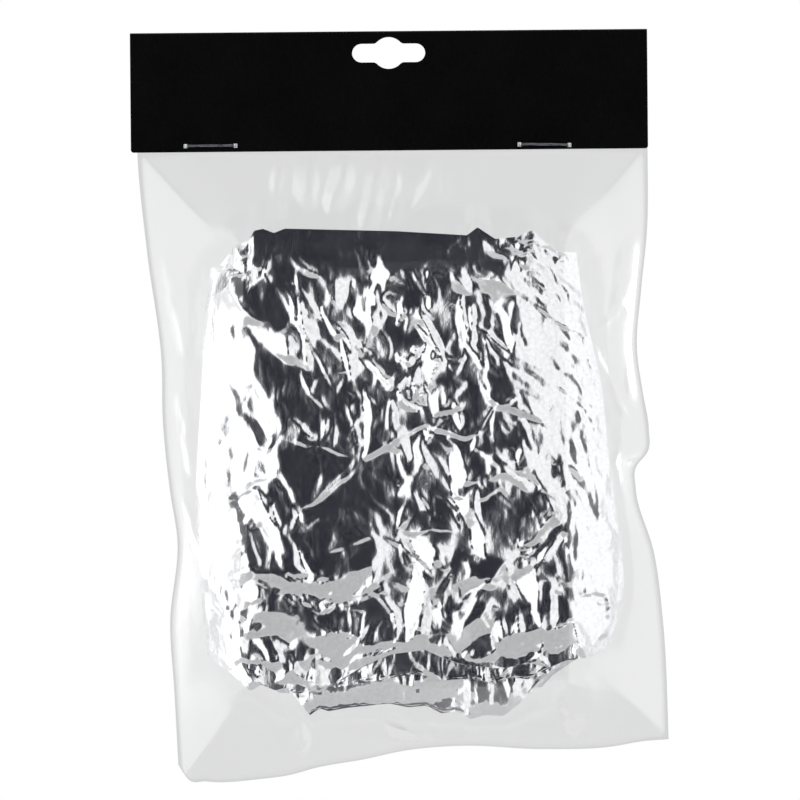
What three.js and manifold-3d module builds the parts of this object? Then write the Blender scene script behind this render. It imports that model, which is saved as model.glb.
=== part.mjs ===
// A foil shower cap as it is sold: folded flat in a clear bag that hangs from a stapled header card.
// Millimetres, +Z up, front towards -Y. The origin is the middle of the card's hang slot.
import * as THREE from 'three';
import { mergeVertices } from 'three/addons/utils/BufferGeometryUtils.js';
import Module from 'manifold-3d';

const wasm = await Module();
wasm.setup();

// Folded cap
const capWidth = 107;
const capHeight = 122.5;
const capTaper = 0.08; // share of the width lost between the hem and the top fold
const capCorner = 0.95; // how far the outline runs into the ends of its rounded form
const capCornerPower = 6;
const capShift = 3.3; // how far the cap lies to the right of the card's middle
const capFilm = 0.25;
const capLift = 8; // how far the loose cap can ride up in the bag
const innerShare = 0.35; // depth of the inner leaves, as a share of the outer ones
const innerInset = 10; // the inner leaves end this far short of the outer ones at each side
const topFoldRise = 3;
const topFoldStep = 4; // the inner top fold lies this far under the outer one
const backTurnRise = 3;
const backTurnLift = 6; // the turn at the back lies this far above the lowest hem
const capCrest = 0.74; // share of the half width where the leaves turn down to the side folds
const outerClosing = 0.25; // depth left at the side folds, as a share of the room there
const innerClosing = 0.45;
const innerClosingPower = 10;
const pleatCount = 5; // soft pleats across the back leaf
const pleatDepth = 1.2;
const pleatSlant = 0.12; // share of the width by which a pleat drifts from hem to top fold
const sheetColumns = 21;
const frontRows = 12;
const backRows = 5;
const innerBackRows = 2;
const innerFrontRows = 3;
const topFoldAngles = [45, 90, 135];
const innerFoldAngles = [60, 120];

// Main folds of the front leaf: ends across from the cap's middle and down from its top, and height
const foldFlank = 7;
const foldRoom = 1.9; // depth that the leaf leaves free for its folds
const frontFolds = {
  upperLeftWedge: { from: { across: -46, drop: 19 }, to: { across: -30, drop: 33 }, height: 1.3 },
  leftLens: { from: { across: -39, drop: 37 }, to: { across: -31, drop: 50 }, height: 1.7 },
  leftBand: { from: { across: -39, drop: 61 }, to: { across: -25, drop: 84 }, height: 1.9 },
  leftLip: { from: { across: -42, drop: 86 }, to: { across: -7, drop: 86 }, height: 1.9 },
  longDiagonal: { from: { across: -21, drop: 17 }, to: { across: 4, drop: 43 }, height: 1.2 },
  rightDiagonal: { from: { across: 17, drop: 24 }, to: { across: 39, drop: 40 }, height: 1 },
  middleRidge: { from: { across: 5, drop: 60 }, to: { across: 1, drop: 98 }, height: 1.4 },
  rightRidge: { from: { across: 21, drop: 58 }, to: { across: 35, drop: 92 }, height: 1.2 },
};

// Elastic and the hem that holds it
const elasticDiameter = 1.5;
const elasticClearance = 0.3;
const elasticSides = 6;
const hemSeat = 0.3; // gap between a leaf's edge and the hem casing
const hemStagger = 15; // height of the front hem above the inner hem
const hemInset = 9; // the hem's front run ends this far short of the cap's side
const hemNarrowing = 0.72; // width of the hem's inner run, as a share of the front one
const innerHemInset = 18; // the inner leaf ends this far short of the outer one beside the hem
const lipTurnLeft = 0.5; // depth left where the front lip turns in, as a share of the leaf's
const lipTurnRight = 0.8;
const hemWave = 2;
const hemWavePitch = 52;
const hemWaveShift = -25.5; // the first hem tip, from the cap's middle
const hemSlit = 80; // opening of the casing's seam in degrees
const hemRunSteps = 20;
const hemTurnSteps = 10;
const casingArcSteps = 6;

// Bag
const bagSideRoom = 10.5;
const bagHeadroom = 18.3;
const bagFootroom = 11;
const bagTaper = 4.5; // the bottom is this much narrower than the mouth
const bagWaist = 2.5; // how far each side is drawn in by the bulge
const bagLean = 2.4; // degrees, the bag was stapled a little askew
const bagBottomSlope = 4.2; // degrees
const bagShift = 0.8;
const bagFullness = 9.5; // how far each film stands out over the cap
const bagSidePower = 5;
const bagEndPower = 4;
const bagFilm = 0.2;
const bagEase = 0.6; // clearance between the cap and the film
const sealWidth = 2.5;
const sealGap = 0.3;
const filmColumns = 20;
const filmRows = 24;
const shareRounds = 4; // rounds of correction that find a point's place on the bag

// Header card
const cardHeight = 30;
const cardOverhang = 1;
const cardThickness = 0.4;
const cardCorner = 0.6;
const cardPinch = 0.1; // gap beside each film inside the fold
const cutMargin = 2; // cutting tools reach this far past the card
const neckShow = 0.4; // film seen under the card before it bends
const bendGap = 0.8; // room for the films to turn under the neck
const neckRoom = 2.7; // the bag's mouth stops this far under the hang slot

// Hang slot
const slotDrop = 5.5; // from the card's fold down to the slot's middle
const slotLength = 18.4;
const slotHeight = 4.8;
const slotEyeDiameter = 8.1;
const slotFillet = 1.5;
const slotArcSegments = 8;

// Staples
const stapleCrown = 13;
const stapleLeg = 6;
const stapleWireThick = 0.45;
const stapleWireWide = 0.6;
const stapleBend = 0.5;
const stapleBendSteps = 4;
const leftStapleInset = 20; // from the card's end to the staple's middle
const rightStapleInset = 26;
const stapleSeat = 0.15; // gap between the wire and the card
const stapleHoleClearance = 0.25;
const stapleClinchSplay = 0.5; // how far the clinched tips stand off the card
const leftStapleRise = 1.5; // above the card's lower edge
const rightStapleRise = 1.1;
const rightStapleTilt = 1.1; // degrees

// Values that follow from the sizes above
const degrees = Math.PI / 180;
const bagWidth = capWidth + 2 * bagSideRoom;
const bagDrop = bagHeadroom + capHeight + bagFootroom;
const cardWidth = bagWidth + 2 * cardOverhang;
const cardTop = slotDrop;
const cardBottom = cardTop - cardHeight;
const cardGapHalf = bagFilm + 1.5 * cardPinch;
const cardHalf = cardGapHalf + cardThickness;
const neckTop = -slotEyeDiameter / 2 - neckRoom;
const neckBottom = cardBottom - neckShow;
const bendLine = neckBottom - bendGap;
const capTop = bendLine - bagHeadroom;
const capBottom = capTop - capHeight;
const capMiddle = (capTop + capBottom) / 2;
const filmHalfGap = (sealGap + bagFilm) / 2;
const cutDepth = 2 * (cardHalf + cutMargin);
const casingSweep = 2 * Math.PI - hemSlit * degrees;
const casingBore = (elasticDiameter / 2 + elasticClearance) / Math.cos(casingSweep / (2 * casingArcSteps));
const casingRadius = casingBore + capFilm;
const innerHem = capBottom + casingRadius + hemWave;
const frontHem = innerHem + hemStagger;
const hemReach = capWidth / 2 - hemInset;

// Materials
const blackCard = new THREE.MeshStandardMaterial({ color: 0x0b0b0c, roughness: 0.5, metalness: 0 });
const steelWire = new THREE.MeshStandardMaterial({ color: 0xb9bbbd, roughness: 0.3, metalness: 1 });
const silverFoil = new THREE.MeshStandardMaterial({ color: 0xc9cbd2, roughness: 0.2, metalness: 1 });
const whiteElastic = new THREE.MeshStandardMaterial({ color: 0xe8e8e6, roughness: 0.8, metalness: 0 });
const clearFilm = new THREE.MeshStandardMaterial({
  color: 0xdfe2e4,
  roughness: 0.15,
  metalness: 0,
  transparent: true,
  opacity: 0.25,
});

// Booleans
function toSolid(geometry) {
  const bare = geometry.clone();
  bare.deleteAttribute('normal');
  bare.deleteAttribute('uv');
  const merged = mergeVertices(bare);
  return new wasm.Manifold(new wasm.Mesh({
    numProp: 3,
    vertProperties: new Float32Array(merged.attributes.position.array),
    triVerts: new Uint32Array(merged.index.array),
  }));
}

function toGeometry(solid) {
  const mesh = solid.getMesh();
  const geometry = new THREE.BufferGeometry();
  geometry.setAttribute('position', new THREE.BufferAttribute(mesh.vertProperties, 3));
  geometry.setIndex(new THREE.BufferAttribute(mesh.triVerts, 1));
  geometry.computeVertexNormals();
  return geometry;
}

function named(name, geometry, material) {
  const mesh = new THREE.Mesh(geometry, material);
  mesh.name = name;
  return mesh;
}

// A closed slab between two grids of points, given as functions of a column and a row.
function slabGeometry(columns, rows, face, back) {
  const points = [];
  const triangles = [];
  const size = columns * rows;
  for (const side of [face, back]) {
    for (let j = 0; j < rows; j += 1) {
      for (let i = 0; i < columns; i += 1) {
        points.push(...side(i, j).toArray());
      }
    }
  }
  const quad = (a, b, c, d) => triangles.push(a, b, c, a, c, d);
  const at = (i, j) => j * columns + i;
  for (let j = 0; j < rows - 1; j += 1) {
    for (let i = 0; i < columns - 1; i += 1) {
      const corners = [at(i, j), at(i, j + 1), at(i + 1, j + 1), at(i + 1, j)];
      quad(...corners);
      quad(...corners.reverse().map((corner) => corner + size));
    }
  }
  const rim = (from, to) => quad(from, to, to + size, from + size);
  for (let i = 0; i < columns - 1; i += 1) {
    rim(at(i, 0), at(i + 1, 0));
    rim(at(i + 1, rows - 1), at(i, rows - 1));
  }
  for (let j = 0; j < rows - 1; j += 1) {
    rim(at(0, j + 1), at(0, j));
    rim(at(columns - 1, j), at(columns - 1, j + 1));
  }
  return indexedGeometry(points, triangles);
}

function indexedGeometry(points, triangles) {
  const geometry = new THREE.BufferGeometry();
  geometry.setAttribute('position', new THREE.Float32BufferAttribute(points, 3));
  geometry.setIndex(triangles);
  geometry.computeVertexNormals();
  return geometry;
}

// A section carried along a path. The section's second axis stays as close as it can to the given direction.
function sweepGeometry(path, upright, section, closed) {
  const points = [];
  const triangles = [];
  const sides = section.length;
  const count = path.length;
  const last = count - 1;
  path.forEach((centre, k) => {
    const before = path[closed ? (k + last) % count : Math.max(k - 1, 0)];
    const after = path[closed ? (k + 1) % count : Math.min(k + 1, last)];
    const along = after.clone().sub(before).normalize();
    const across = new THREE.Vector3().crossVectors(upright, along).normalize();
    const up = new THREE.Vector3().crossVectors(along, across);
    for (const corner of section) {
      const point = centre.clone().addScaledVector(across, corner.x).addScaledVector(up, corner.y);
      points.push(...point.toArray());
    }
  });
  const steps = closed ? count : last;
  for (let k = 0; k < steps; k += 1) {
    const here = k * sides;
    const there = ((k + 1) % count) * sides;
    for (let m = 0; m < sides; m += 1) {
      const next = (m + 1) % sides;
      triangles.push(here + m, here + next, there + next);
      triangles.push(here + m, there + next, there + m);
    }
  }
  if (!closed) {
    for (const [a, b, c] of THREE.ShapeUtils.triangulateShape(section, [])) {
      triangles.push(a, c, b);
      triangles.push(a + last * sides, b + last * sides, c + last * sides);
    }
  }
  return indexedGeometry(points, triangles);
}

// A straight path through corners whose inner corners are rounded.
function roundedPath(corners, radius, steps) {
  const path = [corners[0]];
  for (let k = 1; k < corners.length - 1; k += 1) {
    const back = corners[k - 1].clone().sub(corners[k]).setLength(radius);
    const ahead = corners[k + 1].clone().sub(corners[k]).setLength(radius);
    const bend = new THREE.QuadraticBezierCurve3(
      corners[k].clone().add(back),
      corners[k],
      corners[k].clone().add(ahead),
    );
    path.push(...bend.getPoints(steps));
  }
  path.push(corners[corners.length - 1]);
  return path;
}

// An outline drawn in X and Z, carried right through the card along Y.
function cutThrough(shape) {
  const geometry = new THREE.ExtrudeGeometry(shape, {
    depth: cutDepth,
    bevelEnabled: false,
    curveSegments: slotArcSegments,
  });
  const upright = new THREE.Matrix4().makeBasis(
    new THREE.Vector3(1, 0, 0),
    new THREE.Vector3(0, 0, 1),
    new THREE.Vector3(0, -1, 0),
  );
  return toSolid(geometry.applyMatrix4(upright).translate(0, cutDepth / 2, 0));
}

// Hang slot: a long slot with a round eye in its middle and filleted shoulders.
function slotShape() {
  const half = slotHeight / 2;
  const eye = slotEyeDiameter / 2;
  const end = slotLength / 2 - half;
  const shoulder = Math.sqrt((eye + slotFillet) ** 2 - (half + slotFillet) ** 2);
  const lean = Math.atan2(half + slotFillet, shoulder);
  const shape = new THREE.Shape();
  shape.absarc(end, 0, half, -90 * degrees, 90 * degrees, false);
  shape.absarc(shoulder, half + slotFillet, slotFillet, -90 * degrees, lean - Math.PI, true);
  shape.absarc(0, 0, eye, lean, Math.PI - lean, false);
  shape.absarc(-shoulder, half + slotFillet, slotFillet, -lean, -90 * degrees, true);
  shape.absarc(-end, 0, half, 90 * degrees, 270 * degrees, false);
  shape.absarc(-shoulder, -half - slotFillet, slotFillet, 90 * degrees, lean, true);
  shape.absarc(0, 0, eye, Math.PI + lean, 2 * Math.PI - lean, false);
  shape.absarc(shoulder, -half - slotFillet, slotFillet, Math.PI - lean, 90 * degrees, true);
  return shape;
}

function cardOutline() {
  const shape = new THREE.Shape();
  const right = cardWidth / 2;
  const turn = right - cardCorner;
  shape.moveTo(-right, cardTop);
  shape.lineTo(-right, cardBottom + cardCorner);
  shape.absarc(-turn, cardBottom + cardCorner, cardCorner, 180 * degrees, 270 * degrees, false);
  shape.absarc(turn, cardBottom + cardCorner, cardCorner, 270 * degrees, 360 * degrees, false);
  shape.lineTo(right, cardTop);
  return shape;
}

// One strip of card folded over the bag's mouth.
function foldedCard() {
  const shoulder = cardTop - cardHalf;
  const profile = new THREE.Shape();
  profile.moveTo(cardHalf, cardBottom);
  profile.lineTo(cardHalf, shoulder);
  profile.absarc(0, shoulder, cardHalf, 0, 180 * degrees, false);
  profile.lineTo(-cardHalf, cardBottom);
  profile.lineTo(-cardGapHalf, cardBottom);
  profile.absarc(0, shoulder, cardGapHalf, 180 * degrees, 0, true);
  profile.lineTo(cardGapHalf, cardBottom);
  const strip = new THREE.ExtrudeGeometry(profile, {
    depth: cardWidth,
    bevelEnabled: false,
    curveSegments: slotArcSegments,
  });
  const sideways = new THREE.Matrix4().makeBasis(
    new THREE.Vector3(0, 1, 0),
    new THREE.Vector3(0, 0, 1),
    new THREE.Vector3(1, 0, 0),
  );
  strip.applyMatrix4(sideways).translate(-cardWidth / 2, 0, 0);
  return toSolid(strip).intersect(cutThrough(cardOutline())).subtract(cutThrough(slotShape()));
}

// Staples
const stapleFront = -cardHalf - stapleSeat - stapleWireThick / 2;
const stapleBack = cardHalf + stapleSeat + stapleWireThick / 2;
const stapleLegX = (stapleCrown - stapleWireThick) / 2;
const staplePlaces = [
  { name: 'left_staple', x: leftStapleInset - cardWidth / 2, rise: leftStapleRise, tilt: 0 },
  {
    name: 'right_staple',
    x: cardWidth / 2 - rightStapleInset,
    rise: rightStapleRise,
    tilt: rightStapleTilt,
  },
];

function stapleGeometry() {
  const clinch = stapleLeg - (stapleBack - stapleFront);
  const tipX = stapleLegX - clinch;
  const tipY = stapleBack + stapleClinchSplay;
  const corners = [
    new THREE.Vector3(-tipX, tipY, 0),
    new THREE.Vector3(-stapleLegX, stapleBack, 0),
    new THREE.Vector3(-stapleLegX, stapleFront, 0),
    new THREE.Vector3(stapleLegX, stapleFront, 0),
    new THREE.Vector3(stapleLegX, stapleBack, 0),
    new THREE.Vector3(tipX, tipY, 0),
  ];
  const thick = stapleWireThick / 2;
  const wide = stapleWireWide / 2;
  const section = [
    new THREE.Vector2(-thick, -wide),
    new THREE.Vector2(thick, -wide),
    new THREE.Vector2(thick, wide),
    new THREE.Vector2(-thick, wide),
  ];
  const path = roundedPath(corners, stapleBend, stapleBendSteps);
  return sweepGeometry(path, new THREE.Vector3(0, 0, 1), section, false);
}

function stapleMatrix(place) {
  const turn = new THREE.Matrix4().makeRotationY(place.tilt * degrees);
  return turn.setPosition(place.x, 0, cardBottom + place.rise);
}

function withStapleHoles(solid) {
  const hole = new THREE.BoxGeometry(
    stapleWireThick + 2 * stapleHoleClearance,
    cutDepth,
    stapleWireWide + 2 * stapleHoleClearance,
  );
  let cut = solid;
  for (const place of staplePlaces) {
    for (const side of [-1, 1]) {
      const leg = hole.clone().translate(side * stapleLegX, 0, 0).applyMatrix4(stapleMatrix(place));
      cut = cut.subtract(toSolid(leg));
    }
  }
  return cut;
}

// The bag's two films where the card pinches them flat.
function neckFilm(side) {
  const film = new THREE.BoxGeometry(bagWidth, bagFilm, neckTop - neckBottom);
  film.translate(bagShift, side * (cardPinch + bagFilm) / 2, (neckTop + neckBottom) / 2);
  return toGeometry(withStapleHoles(toSolid(film)));
}

// Bag outline: a share across from left to right and a share down from the bend line, to X and Z.
const bagBottomWidth = bagWidth - bagTaper;
const bagBottomX = bagShift + bagDrop * Math.tan(bagLean * degrees);
const bagSideDrop = (bagBottomWidth / 2) * Math.tan(bagBottomSlope * degrees);
const lerp = THREE.MathUtils.lerp;

function bagSideX(side, down) {
  const mouth = bagShift + (side * bagWidth) / 2;
  const bottom = bagBottomX + (side * bagBottomWidth) / 2;
  return lerp(mouth, bottom, down) - side * bagWaist * ridge(down, 2);
}

function bagDropAt(across) {
  return bagDrop + lerp(bagSideDrop, -bagSideDrop, across);
}

function bagPlace(across, down) {
  const x = lerp(bagSideX(-1, down), bagSideX(1, down), across);
  return { x, z: bendLine - down * bagDropAt(across) };
}

// The shares that belong to a point, found by a few rounds of correction.
function bagShares(x, z) {
  let across = 0.5;
  let down = 0;
  for (let round = 0; round < shareRounds; round += 1) {
    down = (bendLine - z) / bagDropAt(across);
    const left = bagSideX(-1, down);
    across = (x - left) / (bagSideX(1, down) - left);
  }
  return { across, down };
}

function ridge(share, power) {
  return 1 - Math.abs(2 * share - 1) ** power;
}

// How far a film stands out from the bag's middle plane; the welded borders stay flat.
function bagDepth(across, down) {
  const side = sealWidth / bagWidth;
  const end = sealWidth / bagDrop;
  const inside = THREE.MathUtils.clamp((across - side) / (1 - 2 * side), 0, 1);
  const lower = THREE.MathUtils.clamp(down / (1 - end), 0, 1);
  return filmHalfGap + bagFullness * ridge(inside, bagSidePower) * ridge(lower, bagEndPower);
}

function borderedShares(count, first, last) {
  const inner = count - (first > 0 ? 1 : 0) - 1;
  const shares = first > 0 ? [0] : [];
  for (let k = 0; k < inner; k += 1) {
    shares.push(lerp(first, 1 - last, k / (inner - 1)));
  }
  shares.push(1);
  return shares;
}

function bagFilmGeometry(side) {
  const across = borderedShares(filmColumns, sealWidth / bagWidth, sealWidth / bagWidth);
  const down = borderedShares(filmRows, 0, sealWidth / bagDrop);
  const surface = (offset) => (i, j) => {
    const { x, z } = bagPlace(across[i], down[j]);
    return new THREE.Vector3(x, side * bagDepth(across[i], down[j]) + offset, z);
  };
  return slabGeometry(filmColumns, filmRows, surface(-bagFilm / 2), surface(bagFilm / 2));
}

// Half the depth that the cap may fill, also when it has ridden up in the bag.
function capRoom(x, z) {
  const depths = [0, capLift].map((lift) => {
    const { across, down } = bagShares(x, z + lift);
    return bagDepth(across, down);
  });
  return Math.min(...depths) - bagFilm / 2 - bagEase - capFilm / 2;
}

function capHalfWidth(z) {
  const up = (2 * (z - capMiddle)) / capHeight;
  const taper = 1 - (capTaper * (1 + up)) / 2;
  const corner = (1 - Math.abs(capCorner * up) ** capCornerPower) ** (1 / capCornerPower);
  return (capWidth / 2) * taper * corner;
}

// Height by which the elastic draws the hem into tips along the cap's width.
function hemLift(x) {
  const turn = (2 * Math.PI * (x - capShift - hemWaveShift)) / hemWavePitch;
  return -hemWave * (0.5 + 0.5 * Math.cos(turn));
}

// The cap's sheet as rows from the front hem, over the top fold, round the turn at the back,
// up inside and down again to the inner hem. A row gives its depth share, height and side inset.
function sheetRows() {
  const shoulder = capTop - topFoldRise;
  const innerShoulder = shoulder - topFoldStep;
  const turnHeight = capBottom + backTurnLift + backTurnRise;
  const edge = casingRadius + hemSeat;
  const leaf = (depth, steps, from, to) => Array.from({ length: steps }, (_, k) => ({
    depth,
    inset: lerp(from.inset, to.inset, k / (steps - 1)),
    height: (x) => lerp(from.height(x), to.height(x), k / (steps - 1)),
  }));
  const level = (height, inset) => ({ inset, height: () => height });
  const hemEdge = (height, inset) => ({ inset, height: (x) => height + hemLift(x) + edge });
  const fold = (depth, inset, height, angles) => angles.map((angle) => ({
    depth: depth * Math.cos(angle * degrees),
    ...level(height + topFoldRise * Math.sin(angle * degrees), inset),
  }));
  const middle = (1 + innerShare) / 2;
  const backTurn = innerFoldAngles.map((angle) => ({
    depth: middle + ((1 - innerShare) / 2) * Math.cos(angle * degrees),
    ...level(
      turnHeight - backTurnRise * Math.sin(angle * degrees),
      (innerInset * (1 - Math.cos(angle * degrees))) / 2,
    ),
  }));
  const rows = [
    ...leaf(-1, frontRows, hemEdge(frontHem, 0), level(shoulder, 0)),
    ...fold(-1, 0, shoulder, topFoldAngles),
    ...leaf(1, backRows, level(shoulder, 0), level(turnHeight, 0)),
    ...backTurn,
    ...leaf(innerShare, innerBackRows, level(turnHeight, innerInset), level(innerShoulder, innerInset)),
    ...fold(innerShare, innerInset, innerShoulder, innerFoldAngles),
    ...leaf(-innerShare, innerFrontRows, level(innerShoulder, innerInset), hemEdge(innerHem, innerHemInset)),
  ];
  rows[0].turnedIn = true;
  return rows;
}

// Depth left where the front lip turns in, deeper to the left.
function lipTurn(x) {
  return lerp(lipTurnLeft, lipTurnRight, (x - capShift) / capWidth + 0.5);
}

// The outer leaves are flat in the middle and slope down to the side folds.
function outerSlope(side) {
  const inside = Math.min(1, (1 - Math.abs(side)) / (1 - capCrest));
  return lerp(outerClosing, 1, Math.max(0, inside));
}

function innerSlope(side) {
  return Math.sqrt(Math.max(innerClosing ** 2, 1 - Math.abs(side) ** innerClosingPower));
}

// Height of the front leaf's main folds: each falls off evenly from the line of its crest.
function frontFoldHeight(x, z) {
  const place = new THREE.Vector3(x - capShift, 0, z - capTop);
  const heights = Object.values(frontFolds).map(({ from, to, height }) => {
    const crest = new THREE.Line3(
      new THREE.Vector3(from.across, 0, -from.drop),
      new THREE.Vector3(to.across, 0, -to.drop),
    );
    const nearest = crest.closestPointToPoint(place, true, new THREE.Vector3());
    return height * Math.max(0, 1 - nearest.distanceTo(place) / foldFlank);
  });
  return Math.min(foldRoom, Math.max(...heights));
}

function backPleatDepth(across, z) {
  const rise = (z - capBottom) / capHeight;
  const phase = 2 * Math.PI * pleatCount * (across + pleatSlant * rise);
  return pleatDepth * (0.5 - 0.5 * Math.cos(phase));
}

function sheetPoint(row, across) {
  const side = 2 * across - 1;
  let height = row.height(capShift + (side * capWidth) / 2);
  const x = capShift + side * (capHalfWidth(height) - row.inset);
  height = row.height(x);
  const room = capRoom(x, height);
  const inner = Math.abs(row.depth) <= innerShare;
  if (inner && row.inset > 0) {
    return new THREE.Vector3(x, row.depth * innerSlope(side) * room, height);
  }
  const dent = row.depth < 0 ? foldRoom - frontFoldHeight(x, height) : backPleatDepth(across, height);
  const share = row.turnedIn ? lipTurn(x) : 1;
  return new THREE.Vector3(x, row.depth * share * outerSlope(side) * (room - dent), height);
}

function capFilmGeometry() {
  const rows = sheetRows();
  const last = rows.length - 1;
  const grid = rows.map((row) => Array.from(
    { length: sheetColumns },
    (_, i) => sheetPoint(row, i / (sheetColumns - 1)),
  ));
  const offset = (side) => (i, j) => {
    const along = grid[Math.min(j + 1, last)][i].clone().sub(grid[Math.max(j - 1, 0)][i]);
    const out = new THREE.Vector3(0, -along.z, along.y).normalize();
    return grid[j][i].clone().addScaledVector(out, (side * capFilm) / 2);
  };
  return slabGeometry(sheetColumns, rows.length, offset(-1), offset(1));
}

// One closed loop for the hem: a front run, a turn at each side and an inner run.
function hemPath() {
  const half = hemStagger / 2;
  const middle = (frontHem + innerHem) / 2;
  const loop = [];
  for (let k = 0; k < hemRunSteps; k += 1) {
    loop.push([lerp(-hemReach, hemReach, k / hemRunSteps), half]);
  }
  for (let k = 0; k < hemTurnSteps; k += 1) {
    const angle = Math.PI / 2 - (Math.PI * k) / hemTurnSteps;
    loop.push([hemReach + half * Math.cos(angle), half * Math.sin(angle)]);
  }
  const mirrored = loop.map(([x, rise]) => [-x, -rise]);
  return [...loop, ...mirrored].map(([across, rise]) => {
    const high = (rise + half) / hemStagger;
    const x = capShift + across * lerp(hemNarrowing, 1, high);
    const z = middle + rise + hemLift(x);
    const room = capRoom(x, z);
    const front = lipTurn(x) * outerSlope((x - capShift) / capHalfWidth(z));
    const share = lerp(innerShare, Math.max(innerShare, front), high);
    const y = -Math.max(0, Math.min(share * room, room - casingRadius));
    return new THREE.Vector3(x, y, z);
  });
}

function ringSection(radius, sides) {
  return Array.from({ length: sides }, (_, k) => {
    const angle = (2 * Math.PI * k) / sides;
    return new THREE.Vector2(radius * Math.cos(angle), radius * Math.sin(angle));
  });
}

// The hem's section: film turned round the elastic, with its seam left open towards the back.
function casingSection() {
  const from = Math.PI / 2 + (hemSlit / 2) * degrees;
  const arc = (radius) => Array.from({ length: casingArcSteps + 1 }, (_, k) => {
    const angle = from + (casingSweep * k) / casingArcSteps;
    return new THREE.Vector2(radius * Math.cos(angle), radius * Math.sin(angle));
  });
  return [...arc(casingRadius), ...arc(casingBore).reverse()];
}

const hemLoop = hemPath();
const loopUpright = new THREE.Vector3(0, 1, 0);

// Assembly: the card and its staples hang, the bag bends under the card, the cap lies loose in the bag.
const header = new THREE.Group();
header.add(named('header_card', toGeometry(withStapleHoles(foldedCard())), blackCard));
header.add(named('bag_front_neck', neckFilm(-1), clearFilm));
header.add(named('bag_back_neck', neckFilm(1), clearFilm));
for (const place of staplePlaces) {
  const staple = named(place.name, stapleGeometry(), steelWire);
  staple.applyMatrix4(stapleMatrix(place));
  header.add(staple);
}

const cap = new THREE.Group();
cap.add(named('cap_film', capFilmGeometry(), silverFoil));
cap.add(named('cap_hem', sweepGeometry(hemLoop, loopUpright, casingSection(), true), silverFoil));
const elasticSection = ringSection(elasticDiameter / 2, elasticSides);
cap.add(named('cap_elastic', sweepGeometry(hemLoop, loopUpright, elasticSection, true), whiteElastic));

const bag = new THREE.Group();
bag.add(named('bag_front_film', bagFilmGeometry(-1), clearFilm));
bag.add(named('bag_back_film', bagFilmGeometry(1), clearFilm));
bag.add(cap);

const pack = new THREE.Group();
pack.add(header);
pack.add(bag);

export default pack;
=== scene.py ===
"""Looks of a foil shower cap, folded in a clear bag that hangs from a stapled header card."""
import math

import bpy
import numpy as np
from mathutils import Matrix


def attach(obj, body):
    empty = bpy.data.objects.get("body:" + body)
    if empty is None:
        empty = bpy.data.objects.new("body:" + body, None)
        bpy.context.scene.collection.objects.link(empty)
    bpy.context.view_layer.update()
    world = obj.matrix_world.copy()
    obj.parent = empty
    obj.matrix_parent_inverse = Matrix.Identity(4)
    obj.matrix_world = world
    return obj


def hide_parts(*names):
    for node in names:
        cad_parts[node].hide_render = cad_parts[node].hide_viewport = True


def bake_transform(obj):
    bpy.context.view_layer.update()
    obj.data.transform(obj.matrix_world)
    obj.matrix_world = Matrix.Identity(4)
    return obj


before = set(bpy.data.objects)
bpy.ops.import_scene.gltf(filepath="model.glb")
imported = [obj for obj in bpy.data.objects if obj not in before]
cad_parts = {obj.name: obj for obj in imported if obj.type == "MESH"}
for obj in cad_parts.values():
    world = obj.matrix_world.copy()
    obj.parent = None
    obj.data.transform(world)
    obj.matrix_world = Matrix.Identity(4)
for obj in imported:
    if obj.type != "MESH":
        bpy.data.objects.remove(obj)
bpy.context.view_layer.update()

# Sizes are in millimetres and turned to metres when a mesh is made.
MM = 0.001

# Camera: the photograph is taken square on, and the card is turned a little in it.
CAMERA_DISTANCE = 1.0
VIEW_WIDTH = 0.2012
VIEW_X = 0.0021
VIEW_Z = -0.0873
CARD_TURN = math.radians(0.5)
SENSOR = 36.0

# Studio
FLOOR_Z = -0.40
FLOOR_RADIUS = 0.50
FLOOR_SIDES = 96
FLOOR_RIM = (0.35, 0.98)  # shares of the radius between which the floor fades to white
SOFTBOX_REACH = 1.04
SOFTBOX_SIZE = (1.0, 2.5)
SOFTBOX_TURN = math.radians(55)
SOFTBOX_GLOW = {"left": 1.75, "right": 1.45}
DARK_CARD_REACH = 1.6
DARK_CARD_HALF_WIDTH = 0.80
DARK_CARD_TOP = 3.6
DARK_CARD_FOOT = -0.75
DARK_CARD_FADE = (0.08, 0.5)  # shares of the width between which it gets lighter
DARK_CARD_POWER = 1.9
AMBIENT = 0.35

# Where most values of a noise lie
NOISE_RANGE = (0.3, 0.7)

# Outline of the bag, as (z, x) down each side and (x, z) along the bottom
BAG_LEFT = (
    (-6.75, -63.3), (-25, -63.4), (-49.5, -61.2), (-77, -57.8), (-92, -57.6), (-110, -55.9),
    (-122, -54.2), (-143, -56.2), (-160, -55.3), (-182, -54.3),
)
BAG_RIGHT = (
    (-6.75, 64.8), (-25, 64.9), (-45, 64.6), (-60, 63.0), (-75, 61.8), (-86, 63.2), (-95, 64.6),
    (-101, 64.2), (-104.5, 61.4), (-110, 61.2), (-126, 65.6), (-144, 67.8), (-168, 68.8), (-182, 69.0),
)
BAG_BOTTOM = (
    (-54.8, -178.6), (-52.8, -181.9), (-48, -182.8), (-34, -182.3), (-27, -181.4), (-20, -179.6),
    (-8, -177.6), (3, -175.4), (16.5, -174.4), (37, -175.4), (54, -175), (63, -173.6), (69, -173.2),
)
BAG_MOUTH = -6.75
CARD_BOTTOM = -24.5
WELD_WIDTH = 0.7
WELD_DEPTH = 0.12
WELD_FADE = 1.5
NECK_DEPTH = 0.2
NECK_SHOW = 0.6
NECK_TURN = 1.6
FILM_SWELL = 9.9
FILM_STEEPNESS = {"left": 1.22, "right": 1.15}
FILM_STEP = 0.8
FILM_WAVE = 0.5
FILM_WAVE_PITCH = (17, 23)
FILM_WAVE_DEPTH = 4  # depth from which the waves are full
FOLD_REACH = 8  # folds are full this far inside the welds
FOLD_POWER = 1.4

# The part of the cap that props the films apart
PACKET_MIDDLE = (3.5, -104)
PACKET_HALF = (40, 54)

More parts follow.
